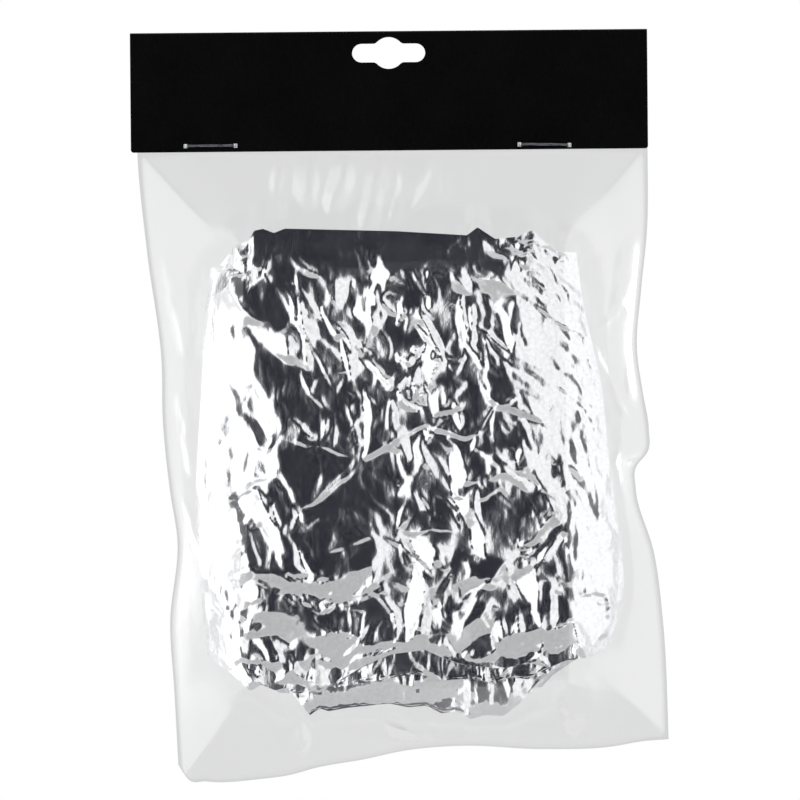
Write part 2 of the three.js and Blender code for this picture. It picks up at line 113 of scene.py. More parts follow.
# Folds of the front film: points, width of the right and the left flank, slope
FILM_FOLDS = (
    (((-27.2, -20), (-27.4, -30), (-28, -38)), 2.4, 2.4, 0.27),
    (((-19.6, -20), (-20, -31), (-20.2, -41)), 4.0, 3.2, 0.27),
    (((-10.6, -20), (-12, -31), (-14.8, -42)), 3.6, 4.2, 0.27),
    (((-1.8, -20), (-3.6, -34), (-7.2, -47)), 3.2, 4.4, 0.27),
    (((4.6, -20), (3, -33), (-0.4, -45)), 2.6, 4.0, 0.27),
    (((11, -20), (8, -30), (4, -40)), 4.0, 3.0, 0.27),
    (((13, -20), (14, -29), (13.6, -38)), 1.4, 2.2, 0.27),
    (((62, -46), (59.5, -62), (58.5, -75), (60, -90)), 4.5, 9.0, 0.28),
    (((56, -60), (60, -68), (62, -74)), 1.0, 1.2, 0.4),
    (((49.5, -72), (55, -84), (59, -94)), 1.0, 1.0, 0.4),
    (((61, -55), (55, -66), (50, -70)), 1.2, 1.0, 0.4),
    (((57, -96), (55.5, -103), (57.5, -112)), 1.2, 1.0, 0.4),
    (((-57, -50), (-52.5, -66), (-51, -78)), 2.6, 2.6, 0.15),
    (((-53.5, -84), (-52, -96), (-50, -108)), 2.2, 2.2, 0.18),
    (((-52, -112), (-50, -120), (-47, -128)), 1.0, 1.4, 0.35),
    (((-24.4, -167), (-24, -172), (-23.8, -177)), 2.6, 2.6, 0.35),
    (((-3, -167), (2, -170), (6, -172)), 2.4, 2.4, 0.3),
    (((42, -160), (44.5, -166), (44.6, -173)), 3.0, 3.4, 0.24),
)

# Outline of the folded cap, as (x, z) along its top and its lips and (z, x) down each side
CAP_TOP = (
    (-46, -53.7), (-43.8, -50.9), (-42, -48.3), (-37.8, -47.1), (-36.5, -44.6), (-34, -44.1),
    (-31, -45.2), (-28, -44.1), (2.5, -45), (22, -46.2), (25, -44.2), (29.8, -47.2),
    (35.4, -46.7), (40.2, -45.0), (43, -47.6), (47, -50.5),
)
CAP_LEFT = ((-50, -44.6), (-63, -46.5), (-86.6, -48), (-112, -49.4), (-127, -49), (-151, -47.2), (-168, -47))
CAP_RIGHT = (
    (-50, 46.7), (-64, 48.5), (-81, 52.2), (-109, 55.3), (-121, 56.9), (-138.6, 57.5),
    (-148, 54.6), (-168, 52),
)
FRONT_LIP = (
    (-48, -151), (-42.1, -155), (-37.2, -159.4), (-34.5, -158), (-30.6, -159.6), (-25, -158.2),
    (-20, -160.5), (-15.3, -157.8), (-8, -153.4), (-1.7, -150.8), (6.6, -149.8), (10.4, -151.6),
    (16.3, -153.6), (26.8, -154.8), (32, -153.2), (38, -154.4), (43, -152.2), (47.9, -152.4),
    (52, -149.5), (58, -147.5),
)
MIDDLE_LIP = (
    (-46, -149), (-38, -155), (-31, -160.4), (-25.4, -160.6), (-15.5, -159.2), (-6, -157.6),
    (4.8, -155.8), (11.5, -157.6), (20, -157.2), (26, -158.6), (29, -156.8), (34, -157.6),
    (39, -155), (45, -150), (56, -145),
)
INNER_LIP = (
    (-44, -150), (-30, -158), (-25.8, -163.5), (-23.5, -166.4), (-21, -164.6), (-18.5, -165.4),
    (-13.6, -164.6), (-2.1, -163.6), (3, -164.6), (8, -164.2), (12, -166.2), (16.5, -165.6),
    (20, -167.6), (23.7, -166.6), (28.8, -166.9), (33.2, -163.3), (36, -160.6), (39, -157), (54, -146),
)

# How far above its lip the front leaf turns in, as (x, height)
LIP_TURN = (
    (-50, 2), (-36, 2), (-27, 2.5), (-22, 7), (-19, 11), (-13, 10), (-6, 4.5), (0, 3.4), (8, 2.6), (24, 2.2),
    (33, 4), (40, 4.5), (46, 3), (56, 4),
)
LIP_SLOPE = 0.46
LIP_SIDES = 12  # the turn fades over this reach at each side
LIP_OVER = 1  # its creases run this far past the turn
CAP_SWELL = 7.7

# The foil stays this far inside the films, also when the cap is slid up
CAP_LIMIT = 9.3
CAP_SLIDE = 8
FILM_ROOM = 0.8
LEAST_ROOM = 0.3

CAP_STEP = 0.42
FOIL_CRISP = math.radians(27)

# Main form of the leaves; at their ends the reach, the least share of the depth and the power
ROOF_SHARES = (0.85, 0.15)
ROOF_EDGE = 5
FRONT_TOP = (10, 0.6, 1.6)
SIDE_DIP = 0.8
SIDE_DIP_REACH = 11
BACK_SIDES = (18, 20)
BACK_TOP = (14, 0.42)
BACK_END = (10, 0.3, 1.6)
SHARE_SIDES = (14, 16)
LEAST_DEPTH = 0.15
CREASE_SINK = 0.6  # creases start this far under the main form
CALM_SIDES = 3
CALM_TOP = 4
CALM_LEAST = 0.3
CALM_LIP = {"front": 3, "back": 6}

# Leaves that are hidden or show only below
BACK_LIP = -160
BACK_COARSENESS = 3.8  # rows of the back leaf are this many times further apart
TUCK_HEIGHT = 7
TUCK_ROWS = (16, 6)
TUCK_INSETS = (2, 1)
TUCK_RISE = (0.62, 0.12)
TUCK_FALL = (0.92, 0.06)
TUCK_LIMIT = 0.9
TUCK_GATHER = 0.5
TUCK_GATHER_LIMIT = 1.2
INNER_DROP = 6
INNER_ROWS = (8, 46)
INNER_INSET = 3
INNER_STEP = 1
INNER_BACK_DEPTH = 1.2
INNER_LEAST = 0.1
INNER_SHARES = (0.1, 0.3)
INNER_BAND = 9
INNER_BAND_POWER = 1.2
INNER_BAND_SHARE = 0.3
INNER_LIMIT = 0.58
INNER_GATHER = 0.35
INNER_GATHER_LIMIT = 1.4

# Where the flat front of the cap turns down to each side, as (z, x)
LEFT_CREST = (
    (-44, -33), (-51, -38), (-60, -39), (-68, -36), (-74, -34), (-82.5, -34.5), (-93.3, -29),
    (-100, -29), (-106.6, -31), (-111.5, -39.5), (-121, -38), (-129, -37.5), (-140, -39), (-160, -37),
)
RIGHT_CREST = (
    (-44, 34), (-56, 30), (-65, 32), (-73, 29), (-82, 31), (-94, 37), (-105, 42), (-112, 41.5),
    (-120, 44), (-131, 44), (-138, 46), (-160, 46),
)

# Lips of the front leaf that face down: points from left to right, width of the lip, slope
LIPS = (
    (((-28.6, -96), (-18, -98.2), (-8, -102.4)), 0.9, 0.55),
    (((-8, -102.5), (0, -99), (7, -94.8)), 1.2, 0.55),
    (((4, -95.6), (9, -93.6), (15, -95), (19, -96.2), (25, -94)), 1.3, 0.55),
    (((25, -89.4), (30, -89.3), (34, -90.8), (38, -93)), 1.5, 0.55),
    (((10.4, -93), (14, -87), (19, -81.4)), 1.3, 0.55),
    (((31, -124.5), (36, -120), (41, -115.8)), 1.6, 0.6),
    (((17, -136), (24, -131), (31, -125)), 1.6, 0.55),
    (((16, -151), (20, -143), (25, -137)), 2.0, 0.55),
    (((-20, -114), (-14, -109), (-8, -104.5)), 0.8, 0.5),
    (((-17, -124.4), (-11, -123), (-5, -121.8)), 1.2, 0.5),
    (((-26, -118.4), (-21, -116.8), (-16.6, -115.6)), 0.8, 0.5),
    (((12, -111), (20, -113), (27, -110)), 1.0, 0.5),
    (((2, -121), (9, -119), (16, -121)), 1.2, 0.5),
    (((-47, -89.5), (-44.5, -94), (-42, -97)), 0.7, 0.55),
    (((-45.5, -110), (-42, -111.6), (-39, -109)), 0.8, 0.55),
    (((-46, -136), (-42.5, -138.5), (-39.5, -136)), 0.8, 0.5),
    (((46.5, -135.6), (51, -134.8), (55.5, -136)), 0.9, 0.55),
    (((19, -68), (33, -77.6), (46, -87)), 1.0, 0.55),
    (((21, -71), (34, -79.8), (44, -87.4)), 0.7, 0.45),
    (((24, -52.6), (35, -62.6), (50, -73)), 1.0, 0.45),
    (((31, -84), (38, -87.4), (44, -91)), 0.7, 0.35),
    (((41.6, -82.6), (43.6, -77), (46.4, -71.6)), 0.8, 0.4),
    (((42, -84), (47, -88), (52, -95)), 0.7, 0.4),
)

# Long ridges of the front leaf: points downwards, width of the steep flank, slope, steep side
RIDGES = (
    (((-31, -104), (-27, -112), (-23.5, -118)), 1.2, 0.6, "left"),
    (((-29.6, -56.5), (-25.8, -65), (-18, -77), (-14, -86)), 0.9, 0.6, "left"),
    (((-23.4, -55), (-22.6, -66), (-21.6, -76)), 1.3, 0.55, "left"),
    (((20, -68), (30, -76), (41, -84)), 0.7, 0.55, "right"),
    (((21.5, -66.5), (31.5, -75), (42.5, -83)), 0.7, 0.5, "left"),
    (((20, -98), (27, -104), (34, -112)), 1.0, 0.6, "left"),
    (((47, -92), (50, -104), (52, -118)), 0.9, 0.4, "left"),
    (((44, -58), (48, -70), (50.5, -82)), 0.8, 0.4, "left"),
    (((-45.5, -116), (-43.5, -126), (-43, -136)), 0.6, 0.45, "right"),
    (((-42, -128), (-41.5, -137), (-43.5, -146)), 0.6, 0.42, "right"),
    (((-44, -64), (-43, -74), (-43.8, -83)), 0.6, 0.42, "right"),
    (((44.5, -110), (46.4, -120), (45.6, -132)), 0.7, 0.45, "left"),
    (((50.8, -78), (53.2, -92), (54.4, -107)), 0.6, 0.5, "left"),
    (((53.4, -136), (54, -142), (52.6, -148)), 0.7, 0.5, "left"),
)
GENTLE_FLANK = 4.5

# Ways in which a facet is turned, as the slopes of its depth along x and z
AHEAD = (0.0, 0.0)
UP = (0.04, -0.48)
LEFT = (0.6, 0.0)
RIGHT = (-0.6, 0.0)
DOWN = (0.0, 0.58)
ASKEW = (0.23, 0.0)
SIDE = (-0.38, 0.0)
HALF_RIGHT = (-0.24, 0.0)
HALF_RIGHT_LOW = (-0.22, 0.05)
INNER_DOWN = (0.0, 0.36)
INNER_UP = (0.0, -0.4)

# Flat facets between the creases of the front leaf: the way each is turned, and its corners in order
FACETS = (
    (LEFT, (-42, -49), (-37.5, -52), (-36, -56.5), (-43, -53.5)),
    (UP, (-41, -56.3), (-36, -57), (-38, -62.8), (-39.7, -61)),
    (LEFT, (-38.2, -62.6), (-37, -59.6), (-31.5, -54.6), (-30.2, -52.6), (-30.8, -55.8), (-36.6, -61.6)),
    (AHEAD, (-37, -63), (-31.6, -56.4), (-29.8, -56.4), (-25.5, -66), (-28, -70), (-35, -66.6)),
    (LEFT, (-36, -68), (-30, -70.4), (-26.6, -72.2), (-25.6, -77.4), (-30, -74.2), (-34, -72)),
    (AHEAD, (-34.6, -75.4), (-30, -75.6), (-24.8, -79.5), (-25, -90), (-27.6, -94), (-33, -81)),
    (LEFT, (-33.6, -80.2), (-29.7, -88.3), (-27.7, -93.2), (-28.6, -95), (-32.3, -93.4), (-34.8, -89.6)),
    (UP, (-39.4, -86), (-34.8, -91.4), (-30, -96), (-32.3, -98.2), (-35.2, -97.2), (-36.6, -92.4)),
    (LEFT, (-35.7, -98), (-31.5, -100.4), (-31, -103.8), (-34.4, -100.4)),
    (ASKEW, (-36, -101), (-33.8, -100.6), (-31.6, -103), (-31.6, -105.8), (-35, -104.4)),
    (LEFT, (-30.6, -98), (-29, -98), (-27.4, -104.5), (-28.4, -107), (-31.4, -105)),
    (LEFT, (-28.4, -106.4), (-27.2, -104.6), (-24.6, -111), (-23.4, -115.4), (-25, -113.4)),
    (RIGHT, (-25, -114), (-23.4, -115.6), (-26, -119.6)),
    (AHEAD, (-31.4, -105.8), (-25.4, -112.8), (-25.6, -117), (-27, -120), (-31.6, -109)),
    (LEFT, (-31.8, -109.4), (-27.4, -120), (-21.3, -127.6), (-22, -129.4), (-30, -123.4), (-40, -112)),
    (UP, (-40, -112), (-36.8, -119), (-32.4, -122), (-29.4, -127), (-35.6, -128.8), (-38.4, -121)),
    (AHEAD, (-28.5, -124.8), (-24.6, -127.2), (-21.4, -130.2), (-24.4, -130.6), (-28, -128.6)),
    (AHEAD, (-29, -99), (-22, -98.6), (-10, -103), (-19.6, -113.4), (-23, -115), (-27, -104.6)),
    (AHEAD, (-25, -120.4), (-18.6, -117.4), (-6, -119), (-4.6, -126), (-11, -130.6), (-20.4, -131.6)),
    (DOWN, (-41, -131), (-34.4, -128.8), (-33, -131.4), (-38, -132.6)),
    (DOWN, (-34.4, -128.8), (-28, -130.5), (-28, -134.6), (-33, -131.4)),
    (DOWN, (-28, -130.5), (-20, -132.5), (-21, -136.8), (-28, -134.6)),
    (DOWN, (-20, -132.5), (-12, -130.4), (-14.5, -138.2), (-21, -136.8)),
    (DOWN, (-12, -130.4), (-6, -128), (-6.4, -134.6), (-14.5, -138.2)),
    (AHEAD, (-16, -134.6), (-12, -133.2), (-6, -128.8), (-10.4, -133.4)),
    (AHEAD, (-13.6, -136.6), (-9.6, -134.8), (-5.6, -131), (-8, -135)),
    (UP, (-24, -134.6), (-20, -135.6), (-16.6, -137.6), (-21, -136.4)),
    (AHEAD, (-12, -151.8), (-4, -149.8), (2, -149), (-4, -150.8)),
    (AHEAD, (-34.4, -132.4), (-31.4, -131.6), (-28.4, -134.8), (-31, -137.6), (-33.6, -135.6)),
    (AHEAD, (-31, -136), (-28, -135), (-21, -137.2), (-19.6, -140), (-26, -140.6), (-31, -138.4)),
    (AHEAD, (-20, -137.6), (-14.5, -138.6), (-7.6, -136.6), (-8.4, -147), (-17, -144.8), (-20, -142)),
    (LEFT, (-39.8, -134.6), (-36, -131.8), (-33, -131.8), (-34.4, -135), (-38.6, -138.4)),
    (LEFT, (-36, -137.6), (-33.6, -136), (-36.4, -144.4), (-38.8, -146)),
    (DOWN, (-32.6, -138.8), (-28.6, -139.2), (-26, -144), (-26.4, -149.6), (-29, -146), (-33.6, -141)),
    (AHEAD, (-36.2, -143), (-34.6, -140.8), (-33.4, -142.8), (-34.6, -144.4)),
    (LEFT, (-36, -145.6), (-33, -145), (-30.6, -151.6), (-33, -151)),
    (UP, (-33.8, -145.6), (-31.6, -145.4), (-28.8, -151.4), (-30.6, -152.2)),
    (UP, (-31.2, -145.6), (-29.8, -145), (-26.4, -149.8), (-27.6, -150.4)),
    (UP, (-37, -146.8), (-35.8, -146), (-32.4, -150.6), (-33.2, -151.4), (-36, -149.8)),
    (DOWN, (-41, -150.8), (-36, -151.6), (-28, -152.2), (-30, -154.8), (-37.6, -152.4)),
    (DOWN, (-20, -147.2), (-17, -145.4), (-12, -145.8), (-9, -147.6), (-14, -153.4), (-19, -152)),
    (UP, (-38, -152.6), (-34.2, -155.4), (-35, -158.4)),
    (LEFT, (-42, -155.4), (-38.6, -152.6), (-36, -159), (-38.5, -159)),
    (RIGHT, (-34.6, -158.6), (-34, -155.6), (-30.4, -155.6), (-31, -158)),
    (RIGHT, (-19.4, -152.4), (-14, -155), (-14.6, -158), (-18.6, -158)),
    (LEFT, (-2.2, -51.4), (-0.4, -55.3), (-1.6, -58.4), (-5.6, -55.8)),
    (RIGHT, (-14.4, -57.7), (-10.6, -57.5), (-11.8, -64.8), (-14, -62.8)),
    (LEFT, (-10.2, -57.8), (-4, -61), (-4.2, -66.4), (-5.6, -62.8)),
    (LEFT, (-8, -61.3), (-4.6, -68.4), (-9.2, -65.3)),
    (RIGHT, (-3.8, -60.3), (-1.4, -65.8), (-2.2, -67.3), (-3.8, -63.4)),
    (LEFT, (1, -63), (2.6, -61.8), (2, -66), (1.2, -69.4)),
    (RIGHT, (7, -63.4), (9, -67), (12.6, -71.6), (14.4, -78), (13.4, -79), (7.4, -67)),
    (LEFT, (8.4, -62), (10, -62.4), (10.2, -65), (9, -64.4)),
    (LEFT, (4.4, -66.5), (10.4, -73), (11.4, -76), (8.8, -73)),
    (RIGHT, (16.6, -52), (19.8, -58.5), (19.2, -60), (17.4, -57)),
    (LEFT, (16.2, -65.4), (17.4, -66), (18.2, -73.8), (17, -73.4)),
    (RIGHT, (19.2, -65.4), (20.2, -66), (20.2, -73.4), (19, -73.4)),
    (LEFT, (-13, -70.4), (-11, -72), (-10.8, -77.3), (-8, -86.3), (-9.4, -86), (-13, -75.3)),
    (LEFT, (-17, -63.4), (-13.4, -70.8), (-14.4, -71), (-16.8, -66)),
    (RIGHT, (-13.2, -68.4), (-9.2, -71.4), (-3.2, -76.8), (-9.2, -73)),
    (LEFT, (-8.2, -76), (-4.8, -77.3), (0, -82.3), (0.2, -84.8), (-2.8, -81.8)),
    (RIGHT, (1.8, -85), (6.6, -89.8), (6, -91), (2, -86.6)),
    (LEFT, (-7, -85.3), (-5.2, -86.3), (-4.4, -91.3), (-5.8, -101), (-7.6, -101.4), (-6.9, -91.3)),
    (LEFT, (7.8, -76.6), (11.8, -78), (9.8, -85.6), (8.4, -83.6)),
    (RIGHT, (7.2, -86), (8.8, -86), (8.8, -89.4)),
    (LEFT, (5, -81.4), (6.4, -85), (5.4, -88), (4.4, -85)),
    (RIGHT, (5.8, -75.6), (8.8, -73.4), (6.6, -77.8)),
    (LEFT, (1, -75.6), (4.8, -78.5), (4.2, -79.4), (1, -77)),
    (DOWN, (7.4, -92), (12, -90), (19, -82.6), (17, -90)),
    (LEFT, (21.4, -81.6), (25, -88.2), (22, -84.4)),
    (RIGHT, (2, -96.4), (3.8, -94.5), (6.2, -102.4), (4.8, -103)),
    (LEFT, (8.4, -95), (10.6, -96), (8.8, -99.6)),
    (SIDE, (31.8, -62.4), (36.6, -63), (45.6, -69.5), (46, -74), (43.4, -81), (37, -76), (33, -71.5)),
    (RIGHT, (26, -55), (28, -54.8), (33.6, -60), (37, -63.4), (35, -63.2), (27.6, -58)),
    (AHEAD, (30.8, -62), (32, -63.6), (32.6, -67), (32, -71.6), (30.2, -68.6), (29.4, -66)),
    (LEFT, (25.3, -62.8), (29, -66), (30.3, -69.6), (31.8, -73.6), (30, -75.2), (27.4, -69.6)),
    (AHEAD, (22, -61), (26.4, -66.4), (27.2, -69.8), (25.7, -70), (24, -66)),
    (HALF_RIGHT_LOW, (30, -75.6), (34.4, -73.2), (38.4, -78.8), (37.8, -80.4)),
    (SIDE, (27, -77.6), (40.4, -84.6), (52, -98), (45, -103), (39, -95), (32, -87)),
    (AHEAD, (23, -78), (27.4, -78.6), (31.3, -85), (25.3, -88.2), (22.8, -81.8)),
    (DOWN, (24.4, -89.6), (31.4, -86.2), (29, -89.2)),
    (DOWN, (28.8, -88.8), (36.4, -92), (37.8, -94.4), (32.2, -92)),
    (AHEAD, (25.5, -92), (30, -92.6), (33, -96), (31.8, -100.6), (26, -98.6)),
    (RIGHT, (32, -100.5), (36.4, -101.4), (39.4, -104.4), (33.4, -105)),
    (HALF_RIGHT, (37.4, -94), (39.4, -95.4), (42, -101), (40.6, -101.6), (38.2, -98)),
    (AHEAD, (30, -46.8), (43, -47.4), (44, -49), (36, -48.6)),
    (LEFT, (15, -101), (18.2, -102), (18.8, -108), (14.2, -108)),
    (LEFT, (14.2, -110.5), (19, -114.5), (16.6, -116.5), (14.6, -113)),
    (RIGHT, (25.2, -101.6), (36.2, -110.4), (34, -109.8), (28.2, -106)),
    (SIDE, (33.4, -102), (35.2, -102.7), (43.8, -112.2), (43.2, -116.4), (36.6, -110.4)),
    (HALF_RIGHT, (40, -100.5), (41.8, -101), (45, -110), (45.8, -117), (44.6, -117), (42.8, -109)),
    (DOWN, (30.6, -124.4), (39, -116.6), (41, -117.6), (31, -125.6)),
    (AHEAD, (31.6, -117.6), (38.4, -116.2), (30.2, -124), (31, -120.6)),
    (AHEAD, (41, -118.2), (43, -117.6), (42, -120.6), (35.4, -126.2), (31.8, -126.2)),
    (RIGHT, (42, -120.6), (43, -121.6), (40.6, -125.6), (37, -126.6)),
    (LEFT, (29.8, -132.8), (34.2, -128.8), (35.4, -135.8), (34, -139.8), (31.8, -136.8)),
    (LEFT, (33, -139), (34.6, -139.4), (36.4, -144.4), (33.6, -143)),
    (RIGHT, (39.2, -133.8), (41, -135.8), (40.2, -143.8), (39, -143.8)),
    (AHEAD, (36.2, -132.4), (38.6, -132.8), (38.2, -140.4), (35.6, -140.4)),
    (AHEAD, (41.4, -134.8), (44.6, -137.8), (46, -141.8), (41.6, -143.4)),
    (LEFT, (4, -127.4), (7.2, -132.4), (4.8, -147), (2.4, -146), (2.4, -138)),
    (RIGHT, (9, -134), (10.8, -140), (9.8, -144.5), (6.8, -146.6), (7.6, -140)),
    (LEFT, (3, -121), (10.4, -124.6), (8.4, -129.6), (4.4, -125.8)),
    (LEFT, (19, -119.6), (22, -121), (23, -127.6), (19.4, -125.6)),
    (DOWN, (16.4, -134), (24.4, -128.6), (24, -131.8), (17.4, -137.4)),
    (DOWN, (21.6, -139.6), (23, -140.4), (17.4, -152), (15, -152)),
    (DOWN, (25.4, -148.2), (31, -145.8), (36.6, -144.8), (36, -148), (32.2, -154), (26.2, -156)),
    (DOWN, (38.4, -146.4), (45.8, -142.8), (46.2, -148.4), (40, -150.4), (37.4, -151)),
    (UP, (32, -153.4), (36.9, -147.2), (37.4, -149), (35, -152.8)),
    (AHEAD, (16.6, -151.4), (20, -147), (25, -145), (25, -150), (22, -152)),
    (SIDE, (46.6, -136), (54.2, -136), (55.2, -142.8), (52, -147.4), (46.6, -143)),
    (LEFT, (1.2, -101.4), (3, -102), (4.2, -108), (2.8, -106.4)),
    (LEFT, (8.6, -102), (7.4, -104.6), (0.4, -112), (1.2, -109.6)),
    (RIGHT, (4.4, -110.2), (6.2, -110.6), (8, -114.4), (6.4, -114.4)),
)

# Facets of the inner band that shows below
INNER_FACETS = (
    (INNER_DOWN, (-21, -162), (-12, -160.4), (-12, -167), (-23, -167)),
    (INNER_DOWN, (-12, -160.4), (-3, -158.4), (-2, -166), (-12, -167)),
    (INNER_DOWN, (-3, -158.4), (2, -160), (9, -160), (9, -163.6), (-2, -166)),
    (INNER_DOWN, (8, -157), (15, -157.6), (15, -162.4), (9, -162.8)),
    (INNER_UP, (10.4, -164.8), (14, -163), (16.8, -165.4), (12, -167)),
    (LEFT, (15.2, -160), (18.8, -159.4), (19.4, -165.4), (17.4, -166.6)),
    (LEFT, (19.6, -159.4), (24, -158.8), (22, -163.4), (20, -165)),
    (INNER_DOWN, (22, -164), (24, -163.2), (28, -166), (25, -168), (22, -167.4)),
    (INNER_UP, (24.4, -158.2), (27, -157.6), (28.2, -165), (26, -162.4)),
    (LEFT, (27.2, -157.6), (29, -157.2), (28.6, -164.6)),
    (INNER_UP, (29.2, -157.4), (30.6, -157), (28.9, -164.4)),
    (RIGHT, (30.8, -157), (32.2, -156.8), (29.4, -163.8)),
    (INNER_UP, (32, -156.4), (36.6, -154.4), (34.4, -158.6), (31.6, -159.2)),
    (LEFT, (34.6, -158.6), (37, -155), (38.6, -156.4), (36, -160.6)),
    (INNER_UP, (-25.8, -157.6), (-22, -160.4), (-21.6, -163), (-23.6, -166), (-25.4, -164)),
    (RIGHT, (-22, -162.4), (-20, -161), (-23, -167)),
)

# Solving for the facets: how far creases fade in them, grid step, weights of the rest of a leaf
# and of its sides, pull to the main form and at the side edges, reach of those, rounds
FACET_CALM = 0.85
FACET_STEP = 0.4
GRID_END = 1.001
FACET_REST = 0.05
FACET_SIDES = 0.15
FACET_HOLD = 0.0002
EDGE_HOLD = 0.03
EDGE_ROOM = 6.5
FACET_ROUNDS = 250

# Smooth, crumpled and knotted patches of the leaves, as (x, z, half width, half height)
CALM_PATCHES = (
    (-10, -50, 45, 6), (-32, -68, 7, 10), (-24, -88, 10, 18), (-17, -107, 14, 12), (-15, -125, 18, 6),
)
SIDE_CRUMPLES = (
    (41, -56, 8, 9), (47, -68, 4, 9), (48, -84, 5, 12), (50.5, -104, 5, 14), (51, -126, 6, 14),
    (-41, -142, 6, 8),
)
KNOTS = ((-36, -51, 9, 7), (36, -50, 13, 6), (-25, -154, 5, 4))
LIP_PATCHES = ((-22, -133, 18, 4.5), (31, -150, 6.5, 6), (42, -148, 5, 5))
INNER_KNOTS = ((19, -163.6, 5, 4), (4, -159.4, 4, 2.5))

# Which way the creases lean, in degrees, and the heights and widths between which that changes
FRONT_LEAN = 6
UPPER_LEAN = 14
RIGHT_LEAN = 18
LEAN_HEIGHTS = (-110, -50)
LEAN_ACROSS = (-10, 40)
SIDE_LEAN = 12
UPPER_SIDE_LEAN = 36
SIDE_LEAN_HEIGHTS = (-120, -70)
BACK_LEAN = -12

# Share of the creases that stay on calm patches, past the crests and at the sides of the back
CALM_CUT = 0.8
CREST_ROOM = 2
PAST_LEFT_CREST = 0.12
PAST_RIGHT_CREST = 0.1
BACK_FLAT = (-38, 44)
BACK_SIDE_SHARE = 0.35

# Creases strewn over a leaf: count, spread of the lean in degrees, half lengths, widths, slopes
FRONT_CREASES = (150, 25, (5, 14), (0.6, 1.3), (0.4, 0.75))
SMALL_CREASES = (220, 40, (3, 6), (0.5, 0.8), (0.3, 0.7))
KNOT_CREASES = (900, 60, (2.5, 6), (0.8, 1.5), (0.45, 0.9))
SIDE_CREASES = (2600, 14, (4, 11), (0.6, 1.0), (0.12, 0.3))
FINE_CREASES = (800, 30, (3, 10), (0.7, 1.4), (0.06, 0.2))
LIP_CREASES = (4200, 70, (1.5, 5), (0.4, 0.8), (0.15, 0.45))
BACK_CREASES = (360, 20, (6, 16), (0.7, 1.8), (0.35, 0.75))
SMALL_BACK_CREASES = (380, 30, (2.5, 6), (0.6, 1.0), (0.35, 0.75))
TUCK_GATHERS = (240, 25, (3, 8), (0.5, 1.1), (0.4, 0.8))
INNER_GATHERS = (420, 25, (3, 8), (0.5, 1.1), (0.4, 0.8))
INNER_KNOT_CREASES = (5200, 60, (2, 5), (0.6, 1.1), (0.3, 0.6))
INNER_BAND_CREASES = (2600, 70, (2, 5), (0.5, 0.9), (0.15, 0.4))
CREASE_SHORTEST = 0.5
CREASE_GENTLE = (1.5, 3.5)
CREASE_BEND = 0.22
CREASE_MARGIN = 1.3

# Broad soft facets: count, reach, slope
FRONT_SOFT = (70, (4, 14), 0.13)
BACK_SOFT = (60, (5, 16), 0.14)

# Shifts that make straight creases wander: size and pitches
WANDER_X = ((0.9, 12, 16), (0.5, 4, 5))
WANDER_Z = ((0.9, 14, 12), (0.5, 4, 4))
SEEDS = {"front": 11, "back": 23, "tuck": 51, "gathers": 53, "inner": 59, "bag_front": 41, "bag_back": 43}

# Hem and elastic
HEM_RADIUS = 0.7
HEM_OPENING = math.radians(80)
HEM_SIDES = 10
HEM_RUFFLE = 0.1
HEM_PITCH = 4.3
HEM_END_COLUMNS = 14
HEM_SET = (0, 0.6, 0.7)
HEM_SMOOTHING = 12
HEM_WANDER = ((3, 23), (2, 9.1))
ELASTIC_RADIUS = 0.5
ELASTIC_SIDES = 8


def through(points, at):
    """A smooth curve through (place, value) points, read at the given places."""
    points = sorted(points)
    place = np.array([p[0] for p in points], float)
    value = np.array([p[1] for p in points], float)
    slope = np.gradient(value, place)
    at = np.clip(at, place[0], place[-1])
    k = np.clip(np.searchsorted(place, at) - 1, 0, len(place) - 2)
    span = place[k + 1] - place[k]
    t = (at - place[k]) / span
    rise = value[k] * (1 + 2 * t) * (1 - t) ** 2 + value[k + 1] * t * t * (3 - 2 * t)
    return rise + span * (slope[k] * t * (1 - t) ** 2 - slope[k + 1] * t * t * (1 - t))


def straight(points, at):
    """Straight stretches through (place, value) points, read at the given places."""
    points = sorted(points)
    return np.interp(at, [p[0] for p in points], [p[1] for p in points])


def swell(inside, reach, power=2.2):
    """Rises from 0 at an edge to 1 at reach inside it, steepest at the edge."""
    return 1 - (1 - np.clip(inside / reach, 0, 1)) ** power


def eased(inside, reach, least, power=2.2):
    """Rises from a least share at an edge to 1 at reach inside it."""
    return least + (1 - least) * swell(inside, reach, power)


def between(grid, u, v, soft=False):
    """A grid of values read between its points, at places counted in steps."""
    i = u.astype(int)
    j = v.astype(int)
    a = u - i
    b = v - j
    if soft:
        a = a * a * (3 - 2 * a)
        b = b * b * (3 - 2 * b)
    low = grid[i, j] * (1 - a) + grid[i + 1, j] * a
    high = grid[i, j + 1] * (1 - a) + grid[i + 1, j + 1] * a
    return low * (1 - b) + high * b


def soft_noise(rng, x, z, pitch_x, pitch_z):
    """Smooth random waves between -1 and 1, with about one wave to a pitch."""
    u = (x - x.min()) / pitch_x
    v = (z - z.min()) / pitch_z
    lattice = rng.uniform(-1, 1, (int(u.max()) + 3, int(v.max()) + 3))
    return between(lattice, u, v, soft=True)


def placed(name, data):
    """A new object in the scene."""
    piece = bpy.data.objects.new(name, data)
    bpy.context.scene.collection.objects.link(piece)
    return piece


